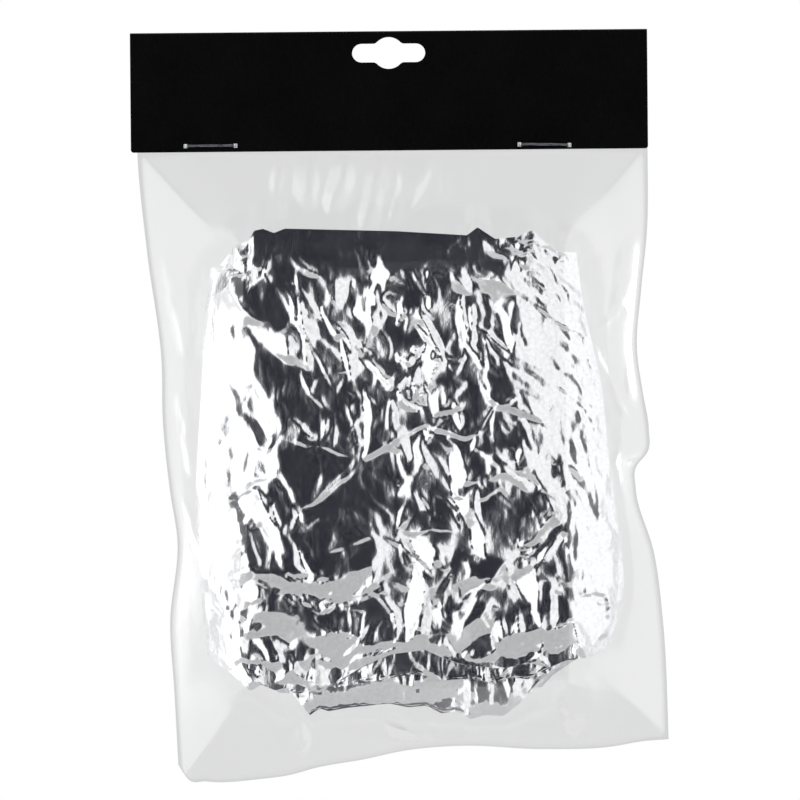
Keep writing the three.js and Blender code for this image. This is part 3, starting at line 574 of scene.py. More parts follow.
def grid_mesh(name, points, material, masks=None, crisp=None):
    """A sheet of quads through rows and columns of points in millimetres, sharp past an angle."""
    rows, columns = points.shape[:2]
    index = np.arange(rows * columns).reshape(rows, columns)
    corners = (index[:-1, :-1], index[:-1, 1:], index[1:, 1:], index[1:, :-1])
    quads = np.stack([c.ravel() for c in corners], axis=1)
    mesh = bpy.data.meshes.new(name)
    mesh.materials.append(material)
    mesh.from_pydata((points.reshape(-1, 3) * MM).tolist(), [], quads.tolist())
    mesh.polygons.foreach_set("use_smooth", [True] * len(mesh.polygons))
    for mask, values in (masks or {}).items():
        layer = mesh.attributes.new(mask, "FLOAT", "POINT")
        layer.data.foreach_set("value", values.ravel().astype(np.float32))
    mesh.update()
    if crisp:
        mesh.set_sharp_from_angle(angle=crisp)
    return placed(name, mesh)


# Nodes
def new_tree(name):
    """An empty material and its node tree."""
    material = bpy.data.materials.new(name)
    material.use_nodes = True
    material.node_tree.nodes.clear()
    return material, material.node_tree


def add(tree, kind, inputs=None, **settings):
    """A node with its settings, and its inputs set to values or linked to outputs."""
    made = tree.nodes.new(kind)
    for key, value in settings.items():
        setattr(made, key, value)
    for key, value in (inputs or {}).items():
        if isinstance(value, bpy.types.NodeSocket):
            tree.links.new(value, made.inputs[key])
        else:
            made.inputs[key].default_value = value
    return made


def scaled_place(tree, scale):
    """Object coordinates in metres, multiplied by a scale along each axis."""
    place = add(tree, "ShaderNodeTexCoord").outputs["Object"]
    return add(tree, "ShaderNodeMapping", {"Vector": place, "Scale": scale}).outputs["Vector"]


def noise(tree, scale, detail=4.0, roughness=0.55):
    """Noise in a piece's own space, with a scale in waves for a metre along each axis."""
    inputs = {"Vector": scaled_place(tree, scale), "Scale": 1.0, "Detail": detail, "Roughness": roughness}
    return add(tree, "ShaderNodeTexNoise", inputs).outputs["Fac"]


def ramp(tree, value, to_low, to_high, source=NOISE_RANGE):
    """A value carried from one range to another."""
    inputs = {
        "Value": value, "From Min": source[0], "From Max": source[1], "To Min": to_low, "To Max": to_high,
    }
    return add(tree, "ShaderNodeMapRange", inputs).outputs["Result"]


def maths(tree, operation, *values):
    """The result of a sum with values or outputs."""
    return add(tree, "ShaderNodeMath", dict(enumerate(values)), operation=operation).outputs[0]


def mix_colour(tree, share, first, second):
    """A colour between two colours."""
    made = add(tree, "ShaderNodeMix", {"Factor": share}, data_type="RGBA")
    for socket, colour in ((made.inputs[6], first), (made.inputs[7], second)):
        socket.default_value = (*colour, 1)
    return made.outputs[2]


def bump(tree, height, strength, distance):
    """A normal that follows a height, with the distance in metres."""
    inputs = {"Height": height, "Strength": strength, "Distance": distance}
    return add(tree, "ShaderNodeBump", inputs).outputs["Normal"]


def mix_shader(tree, share, first, second):
    """A shader between two shaders."""
    return add(tree, "ShaderNodeMixShader", {0: share, 1: first.outputs[0], 2: second.outputs[0]})


def finished(material, shader):
    """A material with its shader joined to its output."""
    add(material.node_tree, "ShaderNodeOutputMaterial", {"Surface": shader.outputs[0]})
    return material


def card_material():
    material, tree = new_tree("black_card")
    fibres = noise(tree, (1800, 1800, 700), 6)
    cloud = noise(tree, (60, 60, 60), 3)
    tones = ((0.0024, 0.0024, 0.0026), (0.0036, 0.0036, 0.0038))
    shader = add(tree, "ShaderNodeBsdfPrincipled", {
        "Base Color": mix_colour(tree, ramp(tree, cloud, 0, 1), *tones),
        "Roughness": ramp(tree, fibres, 0.22, 0.32),
        "Specular IOR Level": 0.08,
        "Normal": bump(tree, fibres, 0.12, 0.00008),
    })
    return finished(material, shader)


def ridged_noise(tree, scale, detail=3.0):
    """Noise with sharp crests, as a crumpled film has."""
    inputs = {"Vector": scaled_place(tree, scale), "Scale": 1.0, "Detail": detail, "Roughness": 0.5}
    made = add(tree, "ShaderNodeTexNoise", inputs, noise_type="RIDGED_MULTIFRACTAL", normalize=True)
    return made.outputs["Fac"]


def foil_material():
    material, tree = new_tree("silver_foil")
    crumple = ridged_noise(tree, (300, 300, 130))
    threads = noise(tree, (520, 520, 300), 5)
    cloud = noise(tree, (120, 120, 90), 4)
    grain = noise(tree, (1100, 1100, 1100), 3)
    both = maths(tree, "MULTIPLY_ADD", crumple, 0.35, threads)
    tones = ((0.84, 0.845, 0.865), (0.93, 0.93, 0.94))
    shader = add(tree, "ShaderNodeBsdfPrincipled", {
        "Base Color": mix_colour(tree, ramp(tree, grain, 0, 1, (0.35, 0.65)), *tones),
        "Metallic": 1.0,
        "Roughness": ramp(tree, cloud, 0.11, 0.18),
        "Normal": bump(tree, both, 0.3, 0.0005),
    })
    return finished(material, shader)


def film_material():
    material, tree = new_tree("clear_film")
    cloud = noise(tree, (70, 70, 50), 4)
    weld = add(tree, "ShaderNodeAttribute", attribute_name="weld").outputs["Fac"]
    ripple = bump(tree, cloud, 0.25, 0.0006)
    tint = mix_colour(tree, weld, (0.872, 0.873, 0.876), (0.84, 0.842, 0.846))
    clear = add(tree, "ShaderNodeBsdfTransparent", {"Color": tint})
    gloss = add(tree, "ShaderNodeBsdfGlossy", {
        "Color": (1, 1, 1, 1),
        "Roughness": ramp(tree, cloud, 0.10, 0.18),
        "Normal": ripple,
    })
    share = add(tree, "ShaderNodeFresnel", {"IOR": 1.6, "Normal": ripple}).outputs["Fac"]
    return finished(material, mix_shader(tree, share, clear, gloss))


def steel_material():
    material, tree = new_tree("staple_steel")
    drawn = noise(tree, (300, 3000, 3000), 4)
    shader = add(tree, "ShaderNodeBsdfPrincipled", {
        "Base Color": mix_colour(tree, ramp(tree, drawn, 0, 1), (0.45, 0.45, 0.48), (0.72, 0.72, 0.74)),
        "Metallic": 1.0,
        "Roughness": ramp(tree, drawn, 0.22, 0.36),
        "Normal": bump(tree, drawn, 0.2, 0.00005),
    })
    return finished(material, shader)


def elastic_material():
    material, tree = new_tree("white_elastic")
    inputs = {"Vector": scaled_place(tree, (1, 1, 1)), "Scale": 900.0, "Distortion": 2.0}
    braid = add(tree, "ShaderNodeTexWave", inputs).outputs["Fac"]
    shader = add(tree, "ShaderNodeBsdfPrincipled", {
        "Base Color": mix_colour(tree, braid, (0.62, 0.62, 0.60), (0.86, 0.86, 0.84)),
        "Roughness": 0.85,
        "Normal": bump(tree, braid, 0.5, 0.0001),
    })
    return finished(material, shader)


# Foil cap
def edge_rooms(x, z, top, lip):
    """How far points of a leaf lie inside its left, right, top and lower edges."""
    left = x - through(CAP_LEFT, z)
    right = through(CAP_RIGHT, z) - x
    return left, right, top - z, z - lip


def ridge(x, z, place, lean, half_length, steep, gentle, rise, bend=0.0):
    """A creased ridge: a long lens with one steep and one gentle flank, and sharp ends."""
    dx = x - place[0]
    dz = z - place[1]
    s = (dx * math.sin(lean) - dz * math.cos(lean)) / half_length
    t = dx * math.cos(lean) + dz * math.sin(lean) - bend * s * s
    across = np.where(t > 0, t / gentle, -t / steep)
    return rise * np.clip(1 - s * s - np.abs(across), 0, None)


def crease(x, z, points, right_flank, left_flank, slope, taper=6.0):
    """A ridge along a line of points, with a flank to the right and to the left of its run."""
    best = np.full(x.shape, np.inf)
    side = np.zeros_like(x)
    along = np.zeros_like(x)
    run = 0.0
    for (ax, az), (bx, bz) in zip(points, points[1:]):
        length = math.hypot(bx - ax, bz - az)
        ux = (bx - ax) / length
        uz = (bz - az) / length
        s = np.clip((x - ax) * ux + (z - az) * uz, 0, length)
        away = np.hypot(x - ax - s * ux, z - az - s * uz)
        closer = away < best
        best = np.where(closer, away, best)
        side = np.where(closer, (x - ax) * uz - (z - az) * ux, side)
        along = np.where(closer, run + s, along)
        run += length
    end = np.clip(np.minimum(along, run - along) / taper, 0, 1)
    width = np.where(side > 0, right_flank, left_flank)
    height = np.clip(end * (2 - end) - best / width, 0, None)
    return slope * min(right_flank, left_flank) * height


def in_patch(x, z, patch):
    """1 in the middle of an oval patch, 0 at its edge and less outside."""
    cx, cz, rx, rz = patch
    return 1 - ((x - cx) / rx) ** 2 - ((z - cz) / rz) ** 2


def rise_between(at, start, end):
    """0 up to the start, 1 past the end, and a straight rise between."""
    return min(max((at - start) / (end - start), 0), 1)


def front_lean(x, z):
    """Which way the creases run: down to the right above, upright below."""
    upper = rise_between(z, *LEAN_HEIGHTS)
    right = rise_between(x, *LEAN_ACROSS)
    return math.radians(FRONT_LEAN + upper * (UPPER_LEAN + RIGHT_LEAN * right))


def side_lean(x, z):
    """Creases down the sides: slanting above, upright below."""
    return math.radians(SIDE_LEAN + UPPER_SIDE_LEAN * rise_between(z, *SIDE_LEAN_HEIGHTS))


def back_lean(x, z):
    return math.radians(BACK_LEAN)


def front_room(x, z):
    """Share of the creases that stay: fewer on calm patches and on the turned-down sides."""
    calm = max(in_patch(x, z, patch) for patch in CALM_PATCHES)
    share = 1 - CALM_CUT * min(1, max(0, 2 * calm))
    if x < straight(LEFT_CREST, z) - CREST_ROOM:
        share *= PAST_LEFT_CREST
    if x > straight(RIGHT_CREST, z) + CREST_ROOM:
        share *= PAST_RIGHT_CREST
    return share


def whole_room(x, z):
    return 1.0


def within(patches):
    """A room that is 1 inside any of the oval patches, and 0 outside them."""
    def room(x, z):
        return float(max(in_patch(x, z, patch) for patch in patches) > 0)
    return room


def lip_room(x, z):
    """1 on the parts of the front leaf that turn in: its lip and the broad patches above it."""
    above = z - straight(FRONT_LIP, x)
    on_lip = 0 < above < straight(LIP_TURN, x) + LIP_OVER
    return float(on_lip or within(LIP_PATCHES)(x, z))


def inner_band_room(x, z):
    return INNER_BAND_SHARE * float(0 < z - straight(INNER_LIP, x) < INNER_BAND)


def back_room(x, z):
    return BACK_SIDE_SHARE if x < BACK_FLAT[0] or x > BACK_FLAT[1] else 1.0


def strewn(rng, x, z, layer, lean, room):
    """Many creases strewn over a leaf, each steep on one side, fewer where room is low."""
    count, spread, lengths, widths, slopes = layer
    height = np.zeros_like(x)
    low = (x.min(), z.min())
    high = (x.max(), z.max())
    for _ in range(count):
        place = rng.uniform(low, high)
        turn = rng.normal(lean(*place), math.radians(spread))
        half_length = rng.uniform(*lengths) * rng.uniform(CREASE_SHORTEST, 1)
        steep = rng.uniform(*widths)
        gentle = steep * rng.uniform(*CREASE_GENTLE)
        rise = steep * rng.uniform(*slopes)
        bend = rng.normal(0, CREASE_BEND) * half_length
        keep = rng.uniform() < room(*place)
        if rng.uniform() < 0.5:
            steep, gentle = gentle, steep
        near = np.hypot(x - place[0], z - place[1]) < half_length * CREASE_MARGIN + steep + gentle
        if keep and near.any():
            height[near] += ridge(x[near], z[near], place, turn, half_length, steep, gentle, rise, bend)
    return height


def soft_facets(rng, x, z, count, reach, slope):
    """Broad facets: soft-edged creases in all directions."""
    height = np.zeros_like(x)
    low = (x.min(), z.min())
    high = (x.max(), z.max())
    for _ in range(count):
        place = rng.uniform(low, high)
        turn = rng.uniform(0, math.pi)
        off = (x - place[0]) * math.cos(turn) + (z - place[1]) * math.sin(turn)
        away = np.hypot(x - place[0], z - place[1]) / rng.uniform(*reach)
        height += rng.uniform(-slope, slope) * np.abs(off) * np.exp(-away * away)
    return height


def in_facet(x, z, corners):
    """Where points lie inside a convex facet."""
    sides = list(zip(corners, corners[1:] + corners[:1]))
    turn = math.copysign(1, sum(a[0] * b[1] - b[0] * a[1] for a, b in sides))
    inside = np.ones(x.shape, bool)
    for (ax, az), (bx, bz) in sides:
        inside &= turn * ((bx - ax) * (z - az) - (bz - az) * (x - ax)) >= 0
    return inside


def settle(slope_x, slope_z, weight, hold):
    """The heights on a square grid whose slopes come closest to the wanted ones, by conjugate gradients."""
    across = (weight[:, 1:] + weight[:, :-1]) / 2
    down = (weight[1:] + weight[:-1]) / 2

    def spread(flow_x, flow_z):
        out = np.zeros_like(weight)
        out[:, 1:] += flow_x
        out[:, :-1] -= flow_x
        out[1:] += flow_z
        out[:-1] -= flow_z
        return out

    def pull(height):
        return hold * height + spread(across * np.diff(height, axis=1), down * np.diff(height, axis=0))

    wanted_x = FACET_STEP * (slope_x[:, 1:] + slope_x[:, :-1]) / 2
    wanted_z = FACET_STEP * (slope_z[1:] + slope_z[:-1]) / 2
    height = np.zeros_like(weight)
    rest = spread(across * wanted_x, down * wanted_z)
    way = rest.copy()
    error = (rest * rest).sum()
    for _ in range(FACET_ROUNDS):
        pulled = pull(way)
        share = error / (way * pulled).sum()
        height += share * way
        rest -= share * pulled
        new_error = (rest * rest).sum()
        way = rest + new_error / error * way
        error = new_error
    return height


def sample(grid, x, z, low):
    """A square grid of values read at places in millimetres."""
    u = np.clip((x - low[0]) / FACET_STEP, 0, grid.shape[1] - GRID_END)
    v = np.clip((z - low[1]) / FACET_STEP, 0, grid.shape[0] - GRID_END)
    return between(grid.T, u, v)


def flat_facets(x, z, facets, form=None):
    """Heights that turn each facet its own way over a leaf's main form, and where the facets are."""
    low = (x.min(), z.min())
    gx, gz = np.meshgrid(np.arange(low[0], x.max(), FACET_STEP), np.arange(low[1], z.max(), FACET_STEP))
    base = form(gx, gz) if form else np.zeros_like(gx)
    base_z, base_x = np.gradient(base, FACET_STEP)
    slope_x = np.zeros_like(gx)
    slope_z = np.zeros_like(gx)
    covered = np.zeros_like(gx)
    for tilt, *corners in facets:
        inside = in_facet(gx, gz, corners)
        slope_x[inside] = tilt[0] - base_x[inside]
        slope_z[inside] = tilt[1] - base_z[inside]
        covered[inside] = 1
    sides = (gx < straight(LEFT_CREST, gz)) | (gx > straight(RIGHT_CREST, gz))
    weight = np.maximum(covered, np.where(sides, FACET_SIDES, FACET_REST))
    edge = np.minimum(gx - through(CAP_LEFT, gz), through(CAP_RIGHT, gz) - gx)
    hold = np.where(edge < EDGE_ROOM, EDGE_HOLD, FACET_HOLD)
    height = settle(slope_x, slope_z, weight, hold)
    return sample(height, x, z, low), sample(covered, x, z, low)


def warped(rng, x, z):
    """Places shifted a little at random, so that straight creases wander."""
    wx = sum((size * soft_noise(rng, x, z, *pitch) for size, *pitch in WANDER_X), x)
    wz = sum((size * soft_noise(rng, x, z, *pitch) for size, *pitch in WANDER_Z), z)
    return wx, wz


def roof(x, z, left, right):
    """The main form of a leaf: flat in the middle, turned down to both sides."""
    to_left = straight(LEFT_CREST, z) - (x - left)
    to_right = (x + right) - straight(RIGHT_CREST, z)
    slant = np.minimum(np.clip(left / to_left, 0, 1), np.clip(right / to_right, 0, 1))
    edge = ROOF_SHARES[1] * swell(left, ROOF_EDGE) * swell(right, ROOF_EDGE)
    return CAP_SWELL * (ROOF_SHARES[0] * slant + edge)


def turned_lip(x, above, left, right):
    """How far the front leaf turns in above its lip."""
    turned = np.clip(straight(LIP_TURN, x) - above, 0, None)
    return LIP_SLOPE * turned * swell(left, LIP_SIDES) * swell(right, LIP_SIDES)


def front_form(x, z):
    """The main form of the front leaf: its roof, and the lip that turns in below."""
    left = x - through(CAP_LEFT, z)
    right = through(CAP_RIGHT, z) - x
    return roof(x, z, left, right) - turned_lip(x, z - straight(FRONT_LIP, x), left, right)


def softened(height):
    """Heights with the stair steps of slanting creases evened out."""
    padded = np.pad(height, 1, mode="edge")
    beside = (padded[1:-1, :-2] + padded[1:-1, 2:]) / 2
    above = (padded[:-2, 1:-1] + padded[2:, 1:-1]) / 2
    return height / 2 + beside / 4 + above / 4


def film_limit(x, z):
    """How far the foil may stand out and stay inside the films when the cap is slid up."""
    return np.clip(bag_depth(x, z + CAP_SLIDE)[0] - FILM_ROOM, LEAST_ROOM, CAP_LIMIT)


def edge_calm(rooms, lip_reach):
    """How much of the creases stays towards the edges of a leaf."""
    left, right, top, lip = rooms
    sides = swell(left, CALM_SIDES) * swell(right, CALM_SIDES)
    return sides * eased(lip, lip_reach, CALM_LEAST) * eased(top, CALM_TOP, CALM_LEAST)


def front_depth(x, z, rooms):
    """How far the front leaf stands out, with its lips, ridges, knots and small creases."""
    rng = np.random.default_rng(SEEDS["front"])
    left, right, top, lip = rooms
    wx, wz = warped(rng, x, z)
    base = roof(x, wz, left, right)
    base *= eased(top, *FRONT_TOP)
    base -= turned_lip(wx, lip, left, right)
    height = soft_facets(rng, wx, wz, *FRONT_SOFT)
    height += strewn(rng, wx, wz, FRONT_CREASES, front_lean, front_room)
    height += strewn(rng, wx, wz, SMALL_CREASES, front_lean, front_room)
    height += strewn(rng, wx, wz, KNOT_CREASES, front_lean, within(KNOTS))
    for points, width, slope, side in RIDGES:
        flanks = (GENTLE_FLANK, width) if side == "right" else (width, GENTLE_FLANK)
        height += crease(wx, wz, points, *flanks, slope)
    tilted, covered = flat_facets(wx, wz, FACETS, front_form)
    height = height * (1 - FACET_CALM * covered) + tilted
    for points, width, slope in LIPS:
        height += crease(wx, wz, points, width, max(width, GENTLE_FLANK), slope)
    height += strewn(rng, wx, wz, SIDE_CREASES, side_lean, within(SIDE_CRUMPLES))
    height += strewn(rng, wx, wz, FINE_CREASES, front_lean, whole_room)
    height += strewn(rng, wx, wz, LIP_CREASES, front_lean, lip_room)
    lowest = base * (1 - SIDE_DIP * swell(np.minimum(left, right), SIDE_DIP_REACH))
    depth = base + (height - CREASE_SINK) * edge_calm(rooms, CALM_LIP["front"])
    return softened(np.clip(depth, lowest + LEAST_DEPTH, film_limit(x, z)))


def back_depth(x, z, rooms):
    """How far the back leaf stands out."""
    rng = np.random.default_rng(SEEDS["back"])
    left, right, top, lip = rooms
    wx, wz = warped(rng, x, z)
    base = CAP_SWELL * swell(left, BACK_SIDES[0]) * swell(right, BACK_SIDES[1])
    base *= eased(top, *BACK_TOP)
    base *= eased(lip, *BACK_END)
    height = soft_facets(rng, wx, wz, *BACK_SOFT)
    height += strewn(rng, wx, wz, BACK_CREASES, back_lean, back_room)
    height += strewn(rng, wx, wz, SMALL_BACK_CREASES, back_lean, back_room)
    depth = base + (height - CREASE_SINK) * edge_calm(rooms, CALM_LIP["back"])
    return np.clip(depth, LEAST_DEPTH, film_limit(x, z))


def leaf_points(across, down, lip_points, inset=0.0):
    """Places over a leaf: across from 0 to 1, down from 0 at the top edge to 1 at its lip."""
    across, down = np.broadcast_arrays(across, down)
    middle = np.interp(across, (0, 1), (CAP_LEFT[2][1], CAP_RIGHT[2][1]))
    top = straight(CAP_TOP, middle)
    lip = straight(lip_points, middle)
    z = top + (lip - top) * down
    x = through(CAP_LEFT, z) * (1 - across) + through(CAP_RIGHT, z) * across
    if inset:
        centre = (through(CAP_LEFT, z) + through(CAP_RIGHT, z)) / 2
        half = (through(CAP_RIGHT, z) - through(CAP_LEFT, z)) / 2
        x = centre + (x - centre) * (half - inset) / half
    return x, z, top, lip


def side_share(x, z):
    """0 at the side edges of the cap and 1 well inside them."""
    left = swell(x - through(CAP_LEFT, z), SHARE_SIDES[0])
    return left * swell(through(CAP_RIGHT, z) - x, SHARE_SIDES[1])


def front_leaf(u):
    rows = int((CAP_TOP[8][1] - FRONT_LIP[9][1]) / CAP_STEP)
    v = np.linspace(1, 0, rows)[:, None]
    x, z, top, lip = leaf_points(u, v, FRONT_LIP)
    return np.stack([x, -front_depth(x, z, edge_rooms(x, z, top, lip)), z], axis=2)


def tuck(u, lip_depth):
    """The film behind the front lip: from the middle lip up, and down again to the front lip."""
    v = np.linspace(0, 1, TUCK_ROWS[0])[:, None]
    x, z, top, lip = leaf_points(u, np.ones_like(v), MIDDLE_LIP, TUCK_INSETS[0])
    z = z + (straight(FRONT_LIP, x) + TUCK_HEIGHT - lip) * v
    rng = np.random.default_rng(SEEDS["tuck"])
    crumple = np.clip(strewn(rng, x, z, TUCK_GATHERS, front_lean, back_room), 0, TUCK_GATHER_LIMIT)
    depth = lip_depth * (TUCK_RISE[0] + TUCK_RISE[1] * v) + TUCK_GATHER * crumple * side_share(x, z)
    up = np.stack([x, -np.minimum(depth, lip_depth * TUCK_LIMIT), z], axis=2)
    v = np.linspace(0, 1, TUCK_ROWS[1])[:, None]
    x, z, top, lip = leaf_points(u, np.ones_like(v), FRONT_LIP, TUCK_INSETS[1])
    depth = lip_depth * (TUCK_FALL[0] + TUCK_FALL[1] * v)
    down = np.stack([x, -depth, z + TUCK_HEIGHT * (1 - v)], axis=2)
    return [up, down]


def back_leaf(u):
    rows = int((CAP_TOP[8][1] - BACK_LIP) / CAP_STEP / BACK_COARSENESS)
    v = np.linspace(0, 1, rows)[:, None]
    x, z, top, lip = leaf_points(u, v, INNER_LIP)
    lip = np.maximum(lip, BACK_LIP)
    z = top + (lip - top) * v
    return np.stack([x, back_depth(x, z, edge_rooms(x, z, top, lip)), z], axis=2)


def inner_leaves(u, lip_depth):
    """The film inside the cap: up behind, over, and down to the inner lip that shows below."""
    v = np.linspace(1, 0, INNER_ROWS[0])[:, None]
    x, z, top, lip = leaf_points(u, v, INNER_LIP, INNER_INSET)
    top = top - INNER_DROP
    z = top + (np.maximum(lip, BACK_LIP + INNER_STEP) - top) * v
    up = np.stack([x, INNER_BACK_DEPTH * side_share(x, z) + INNER_LEAST, z], axis=2)
    v = 1 - np.linspace(1, 0, INNER_ROWS[1])[:, None] ** 2
    x, z, top, lip = leaf_points(u, v, INNER_LIP, INNER_INSET)
    top = top - INNER_DROP
    z = top + (lip - top) * v
    tilted, covered = flat_facets(x, z, INNER_FACETS)
    rng = np.random.default_rng(SEEDS["gathers"])
    crumple = np.clip(strewn(rng, x, z, INNER_GATHERS, front_lean, back_room), 0, INNER_GATHER_LIMIT)
    crumple = INNER_GATHER * crumple * (1 - FACET_CALM * covered) + tilted
    rng = np.random.default_rng(SEEDS["inner"])
    crumple += strewn(rng, x, z, INNER_KNOT_CREASES, front_lean, within(INNER_KNOTS))
    crumple += strewn(rng, x, z, INNER_BAND_CREASES, front_lean, inner_band_room)
    share = INNER_SHARES[0] + INNER_SHARES[1] * swell(z - lip, INNER_BAND, INNER_BAND_POWER)
    depth = INNER_LEAST + lip_depth * share + crumple * side_share(x, z)
    down = np.stack([x, -np.clip(depth, INNER_LEAST, lip_depth * INNER_LIMIT), z], axis=2)
    return [up, down]


def cap_foil(material):
    """The cap's film as one folded strip: tuck, front leaf, top fold, back leaf and inner leaves."""
    columns = int((CAP_RIGHT[3][1] - CAP_LEFT[3][1]) / CAP_STEP) + 1
    u = np.linspace(0, 1, columns)[None, :]
    front = front_leaf(u)
    lip_depth = -front[:1, :, 1]
    parts = [*tuck(u, lip_depth), front, back_leaf(u), *inner_leaves(u, lip_depth)]
    points = np.concatenate(parts, axis=0)
    piece = grid_mesh("cap_foil", points, material, crisp=FOIL_CRISP)
    return piece, hem_line(points[0], points[-1])


def hem_line(front_edge, inner_edge):
    """The closed line of the hem: along the film's front edge and back along its inner one."""
    inside = slice(HEM_END_COLUMNS, -HEM_END_COLUMNS)
    line = np.concatenate([front_edge[inside], inner_edge[inside][::-1]])
    for _ in range(HEM_SMOOTHING):
        line = (np.roll(line, 1, axis=0) + 2 * line + np.roll(line, -1, axis=0)) / 4
    return line + HEM_SET


def sweep(line, across, towards_back):
    """Rows of points: a section carried along a closed line, its second axis held to the back."""
    along = np.roll(line, -1, axis=0) - np.roll(line, 1, axis=0)
    first = np.cross((0, 1, 0), along)
    first /= np.linalg.norm(first, axis=1, keepdims=True)
    second = np.cross(along, first)
    second /= np.linalg.norm(second, axis=1, keepdims=True)
    rows = line[:, None] + across[..., None] * first[:, None] + towards_back[..., None] * second[:, None]
    return np.concatenate([rows, rows[:1]])


def line_length(line):
    """How far along a closed line each of its points lies."""
    steps = np.linalg.norm(np.roll(line, -1, axis=0) - line, axis=1)
    return np.cumsum(steps) - steps[0]


def cap_hem(line, material):
    """The film's edge turned round the elastic, gathered, with its seam open to the back."""
    turn = np.linspace(HEM_OPENING / 2, 2 * math.pi - HEM_OPENING / 2, HEM_SIDES)
    run = line_length(line)
    wander = sum(size * np.sin(2 * math.pi * run / pitch) for size, pitch in HEM_WANDER)
    ruffle = 1 + HEM_RUFFLE * np.sin(2 * math.pi * run / HEM_PITCH + wander)
    radius = HEM_RADIUS * ruffle[:, None]
    rows = sweep(line, radius * np.sin(turn), radius * np.cos(turn))
    return grid_mesh("cap_hem_roll", rows, material, crisp=FOIL_CRISP)


def cap_elastic(line, material):
    """The elastic inside the hem, as one closed loop."""
    turn = np.linspace(0, 2 * math.pi, ELASTIC_SIDES + 1)
    radius = np.full((len(line), 1), ELASTIC_RADIUS)
    rows = sweep(line, radius * np.sin(turn), radius * np.cos(turn))
    return grid_mesh("hem_elastic", rows, material)


# Bag
def bag_depth(x, z):
    """How far the taut film stands out from the bag's middle plane, and how free it is to fold."""
    left = FILM_STEEPNESS["left"] * (x - through(BAG_LEFT, z) - WELD_WIDTH)
    right = FILM_STEEPNESS["right"] * (through(BAG_RIGHT, z) - x - WELD_WIDTH)
    top = CARD_BOTTOM - z
    bottom = z - through(BAG_BOTTOM, x) - WELD_WIDTH
    sides = np.minimum(np.minimum(left, right), np.minimum(top, bottom))
    sides = np.clip(sides, 0, None)
    gap_x = np.clip(np.abs(x - PACKET_MIDDLE[0]) - PACKET_HALF[0], 0, None)
    gap_z = np.clip(np.abs(z - PACKET_MIDDLE[1]) - PACKET_HALF[1], 0, None)
    away = np.hypot(gap_x, gap_z)
    return FILM_SWELL * sides / (sides + away + 1e-6), swell(sides, FOLD_REACH, FOLD_POWER)


def bag_film(name, side, material):
    rows = int((BAG_MOUTH - BAG_BOTTOM[2][1]) / FILM_STEP)
    columns = int((BAG_RIGHT[0][1] - BAG_LEFT[0][1]) / FILM_STEP)
    u = np.linspace(0, 1, columns)[None, :]
    v = np.linspace(0, 1, rows)[:, None]
    rng = np.random.default_rng(SEEDS[name])
    guess = BAG_BOTTOM[0][0] + (BAG_BOTTOM[-1][0] - BAG_BOTTOM[0][0]) * u
    z = BAG_MOUTH + (through(BAG_BOTTOM, guess) - BAG_MOUTH) * v
    x = through(BAG_LEFT, z) * (1 - u) + through(BAG_RIGHT, z) * u
    depth, free = bag_depth(x, z)
    wx, wz = warped(rng, x, z)
    fold = np.zeros_like(x)
    for points, right_flank, left_flank, slope in FILM_FOLDS:
        fold += crease(wx, wz, points, right_flank, left_flank, slope)
    wave = FILM_WAVE * soft_noise(rng, x, z, *FILM_WAVE_PITCH)
    depth += fold * free + wave * np.clip(depth / FILM_WAVE_DEPTH, 0, 1)
    neck = np.clip((CARD_BOTTOM + NECK_SHOW - z) / NECK_TURN, 0, 1)
    depth = NECK_DEPTH * (1 - neck) + np.maximum(depth, WELD_DEPTH) * neck
    edge = np.minimum(x - through(BAG_LEFT, z), through(BAG_RIGHT, z) - x)
    edge = np.minimum(edge, z - through(BAG_BOTTOM, x))
    weld = np.clip(WELD_FADE - edge / WELD_WIDTH, 0, 1)
    return grid_mesh(name, np.stack([x, side * depth, z], axis=2), material, {"weld": weld})


# Studio
def make_camera():
    data = bpy.data.cameras.new("camera")
    data.sensor_width = SENSOR
    data.lens = SENSOR * CAMERA_DISTANCE / VIEW_WIDTH
    data.clip_end = 50
    camera = placed("camera", data)
    camera.location = (VIEW_X, -CAMERA_DISTANCE, VIEW_Z)
    camera.rotation_euler = (math.pi / 2, CARD_TURN, 0)
    bpy.context.scene.camera = camera


def seen_rays(tree):
    """1 for rays that show the background: camera, glossy and transmission rays."""
    path = add(tree, "ShaderNodeLightPath").outputs
    glossy = maths(tree, "MAXIMUM", path["Is Camera Ray"], path["Is Glossy Ray"])
    return maths(tree, "MAXIMUM", glossy, path["Is Transmission Ray"])


def make_world():
    world = bpy.data.worlds.new("studio")
    bpy.context.scene.world = world
    world.use_nodes = True
    tree = world.node_tree
    tree.nodes.clear()
    soft = add(tree, "ShaderNodeBackground", {"Color": (1, 1, 1, 1), "Strength": AMBIENT})
    white = add(tree, "ShaderNodeBackground", {"Color": (1, 1, 1, 1), "Strength": 1.0})
    shader = mix_shader(tree, seen_rays(tree), soft, white)
    add(tree, "ShaderNodeOutputWorld", {"Surface": shader.outputs[0]})


def panel(name, corners, material):
    """A four-cornered panel of the studio that the camera doesn't see."""
    mesh = bpy.data.meshes.new(name)
    mesh.from_pydata(corners, [], [(0, 1, 2, 3)])
    mesh.uv_layers.new(name="panel")
    for loop, uv in zip(mesh.uv_layers[0].data, ((0, 0), (1, 0), (1, 1), (0, 1))):
        loop.uv = uv
    piece = placed(name, mesh)
    mesh.materials.append(material)
    piece.visible_camera = False
    return piece


def glow_material(name, strength):
    material, tree = new_tree(name)
    return finished(material, add(tree, "ShaderNodeEmission", {"Color": (1, 1, 1, 1), "Strength": strength}))


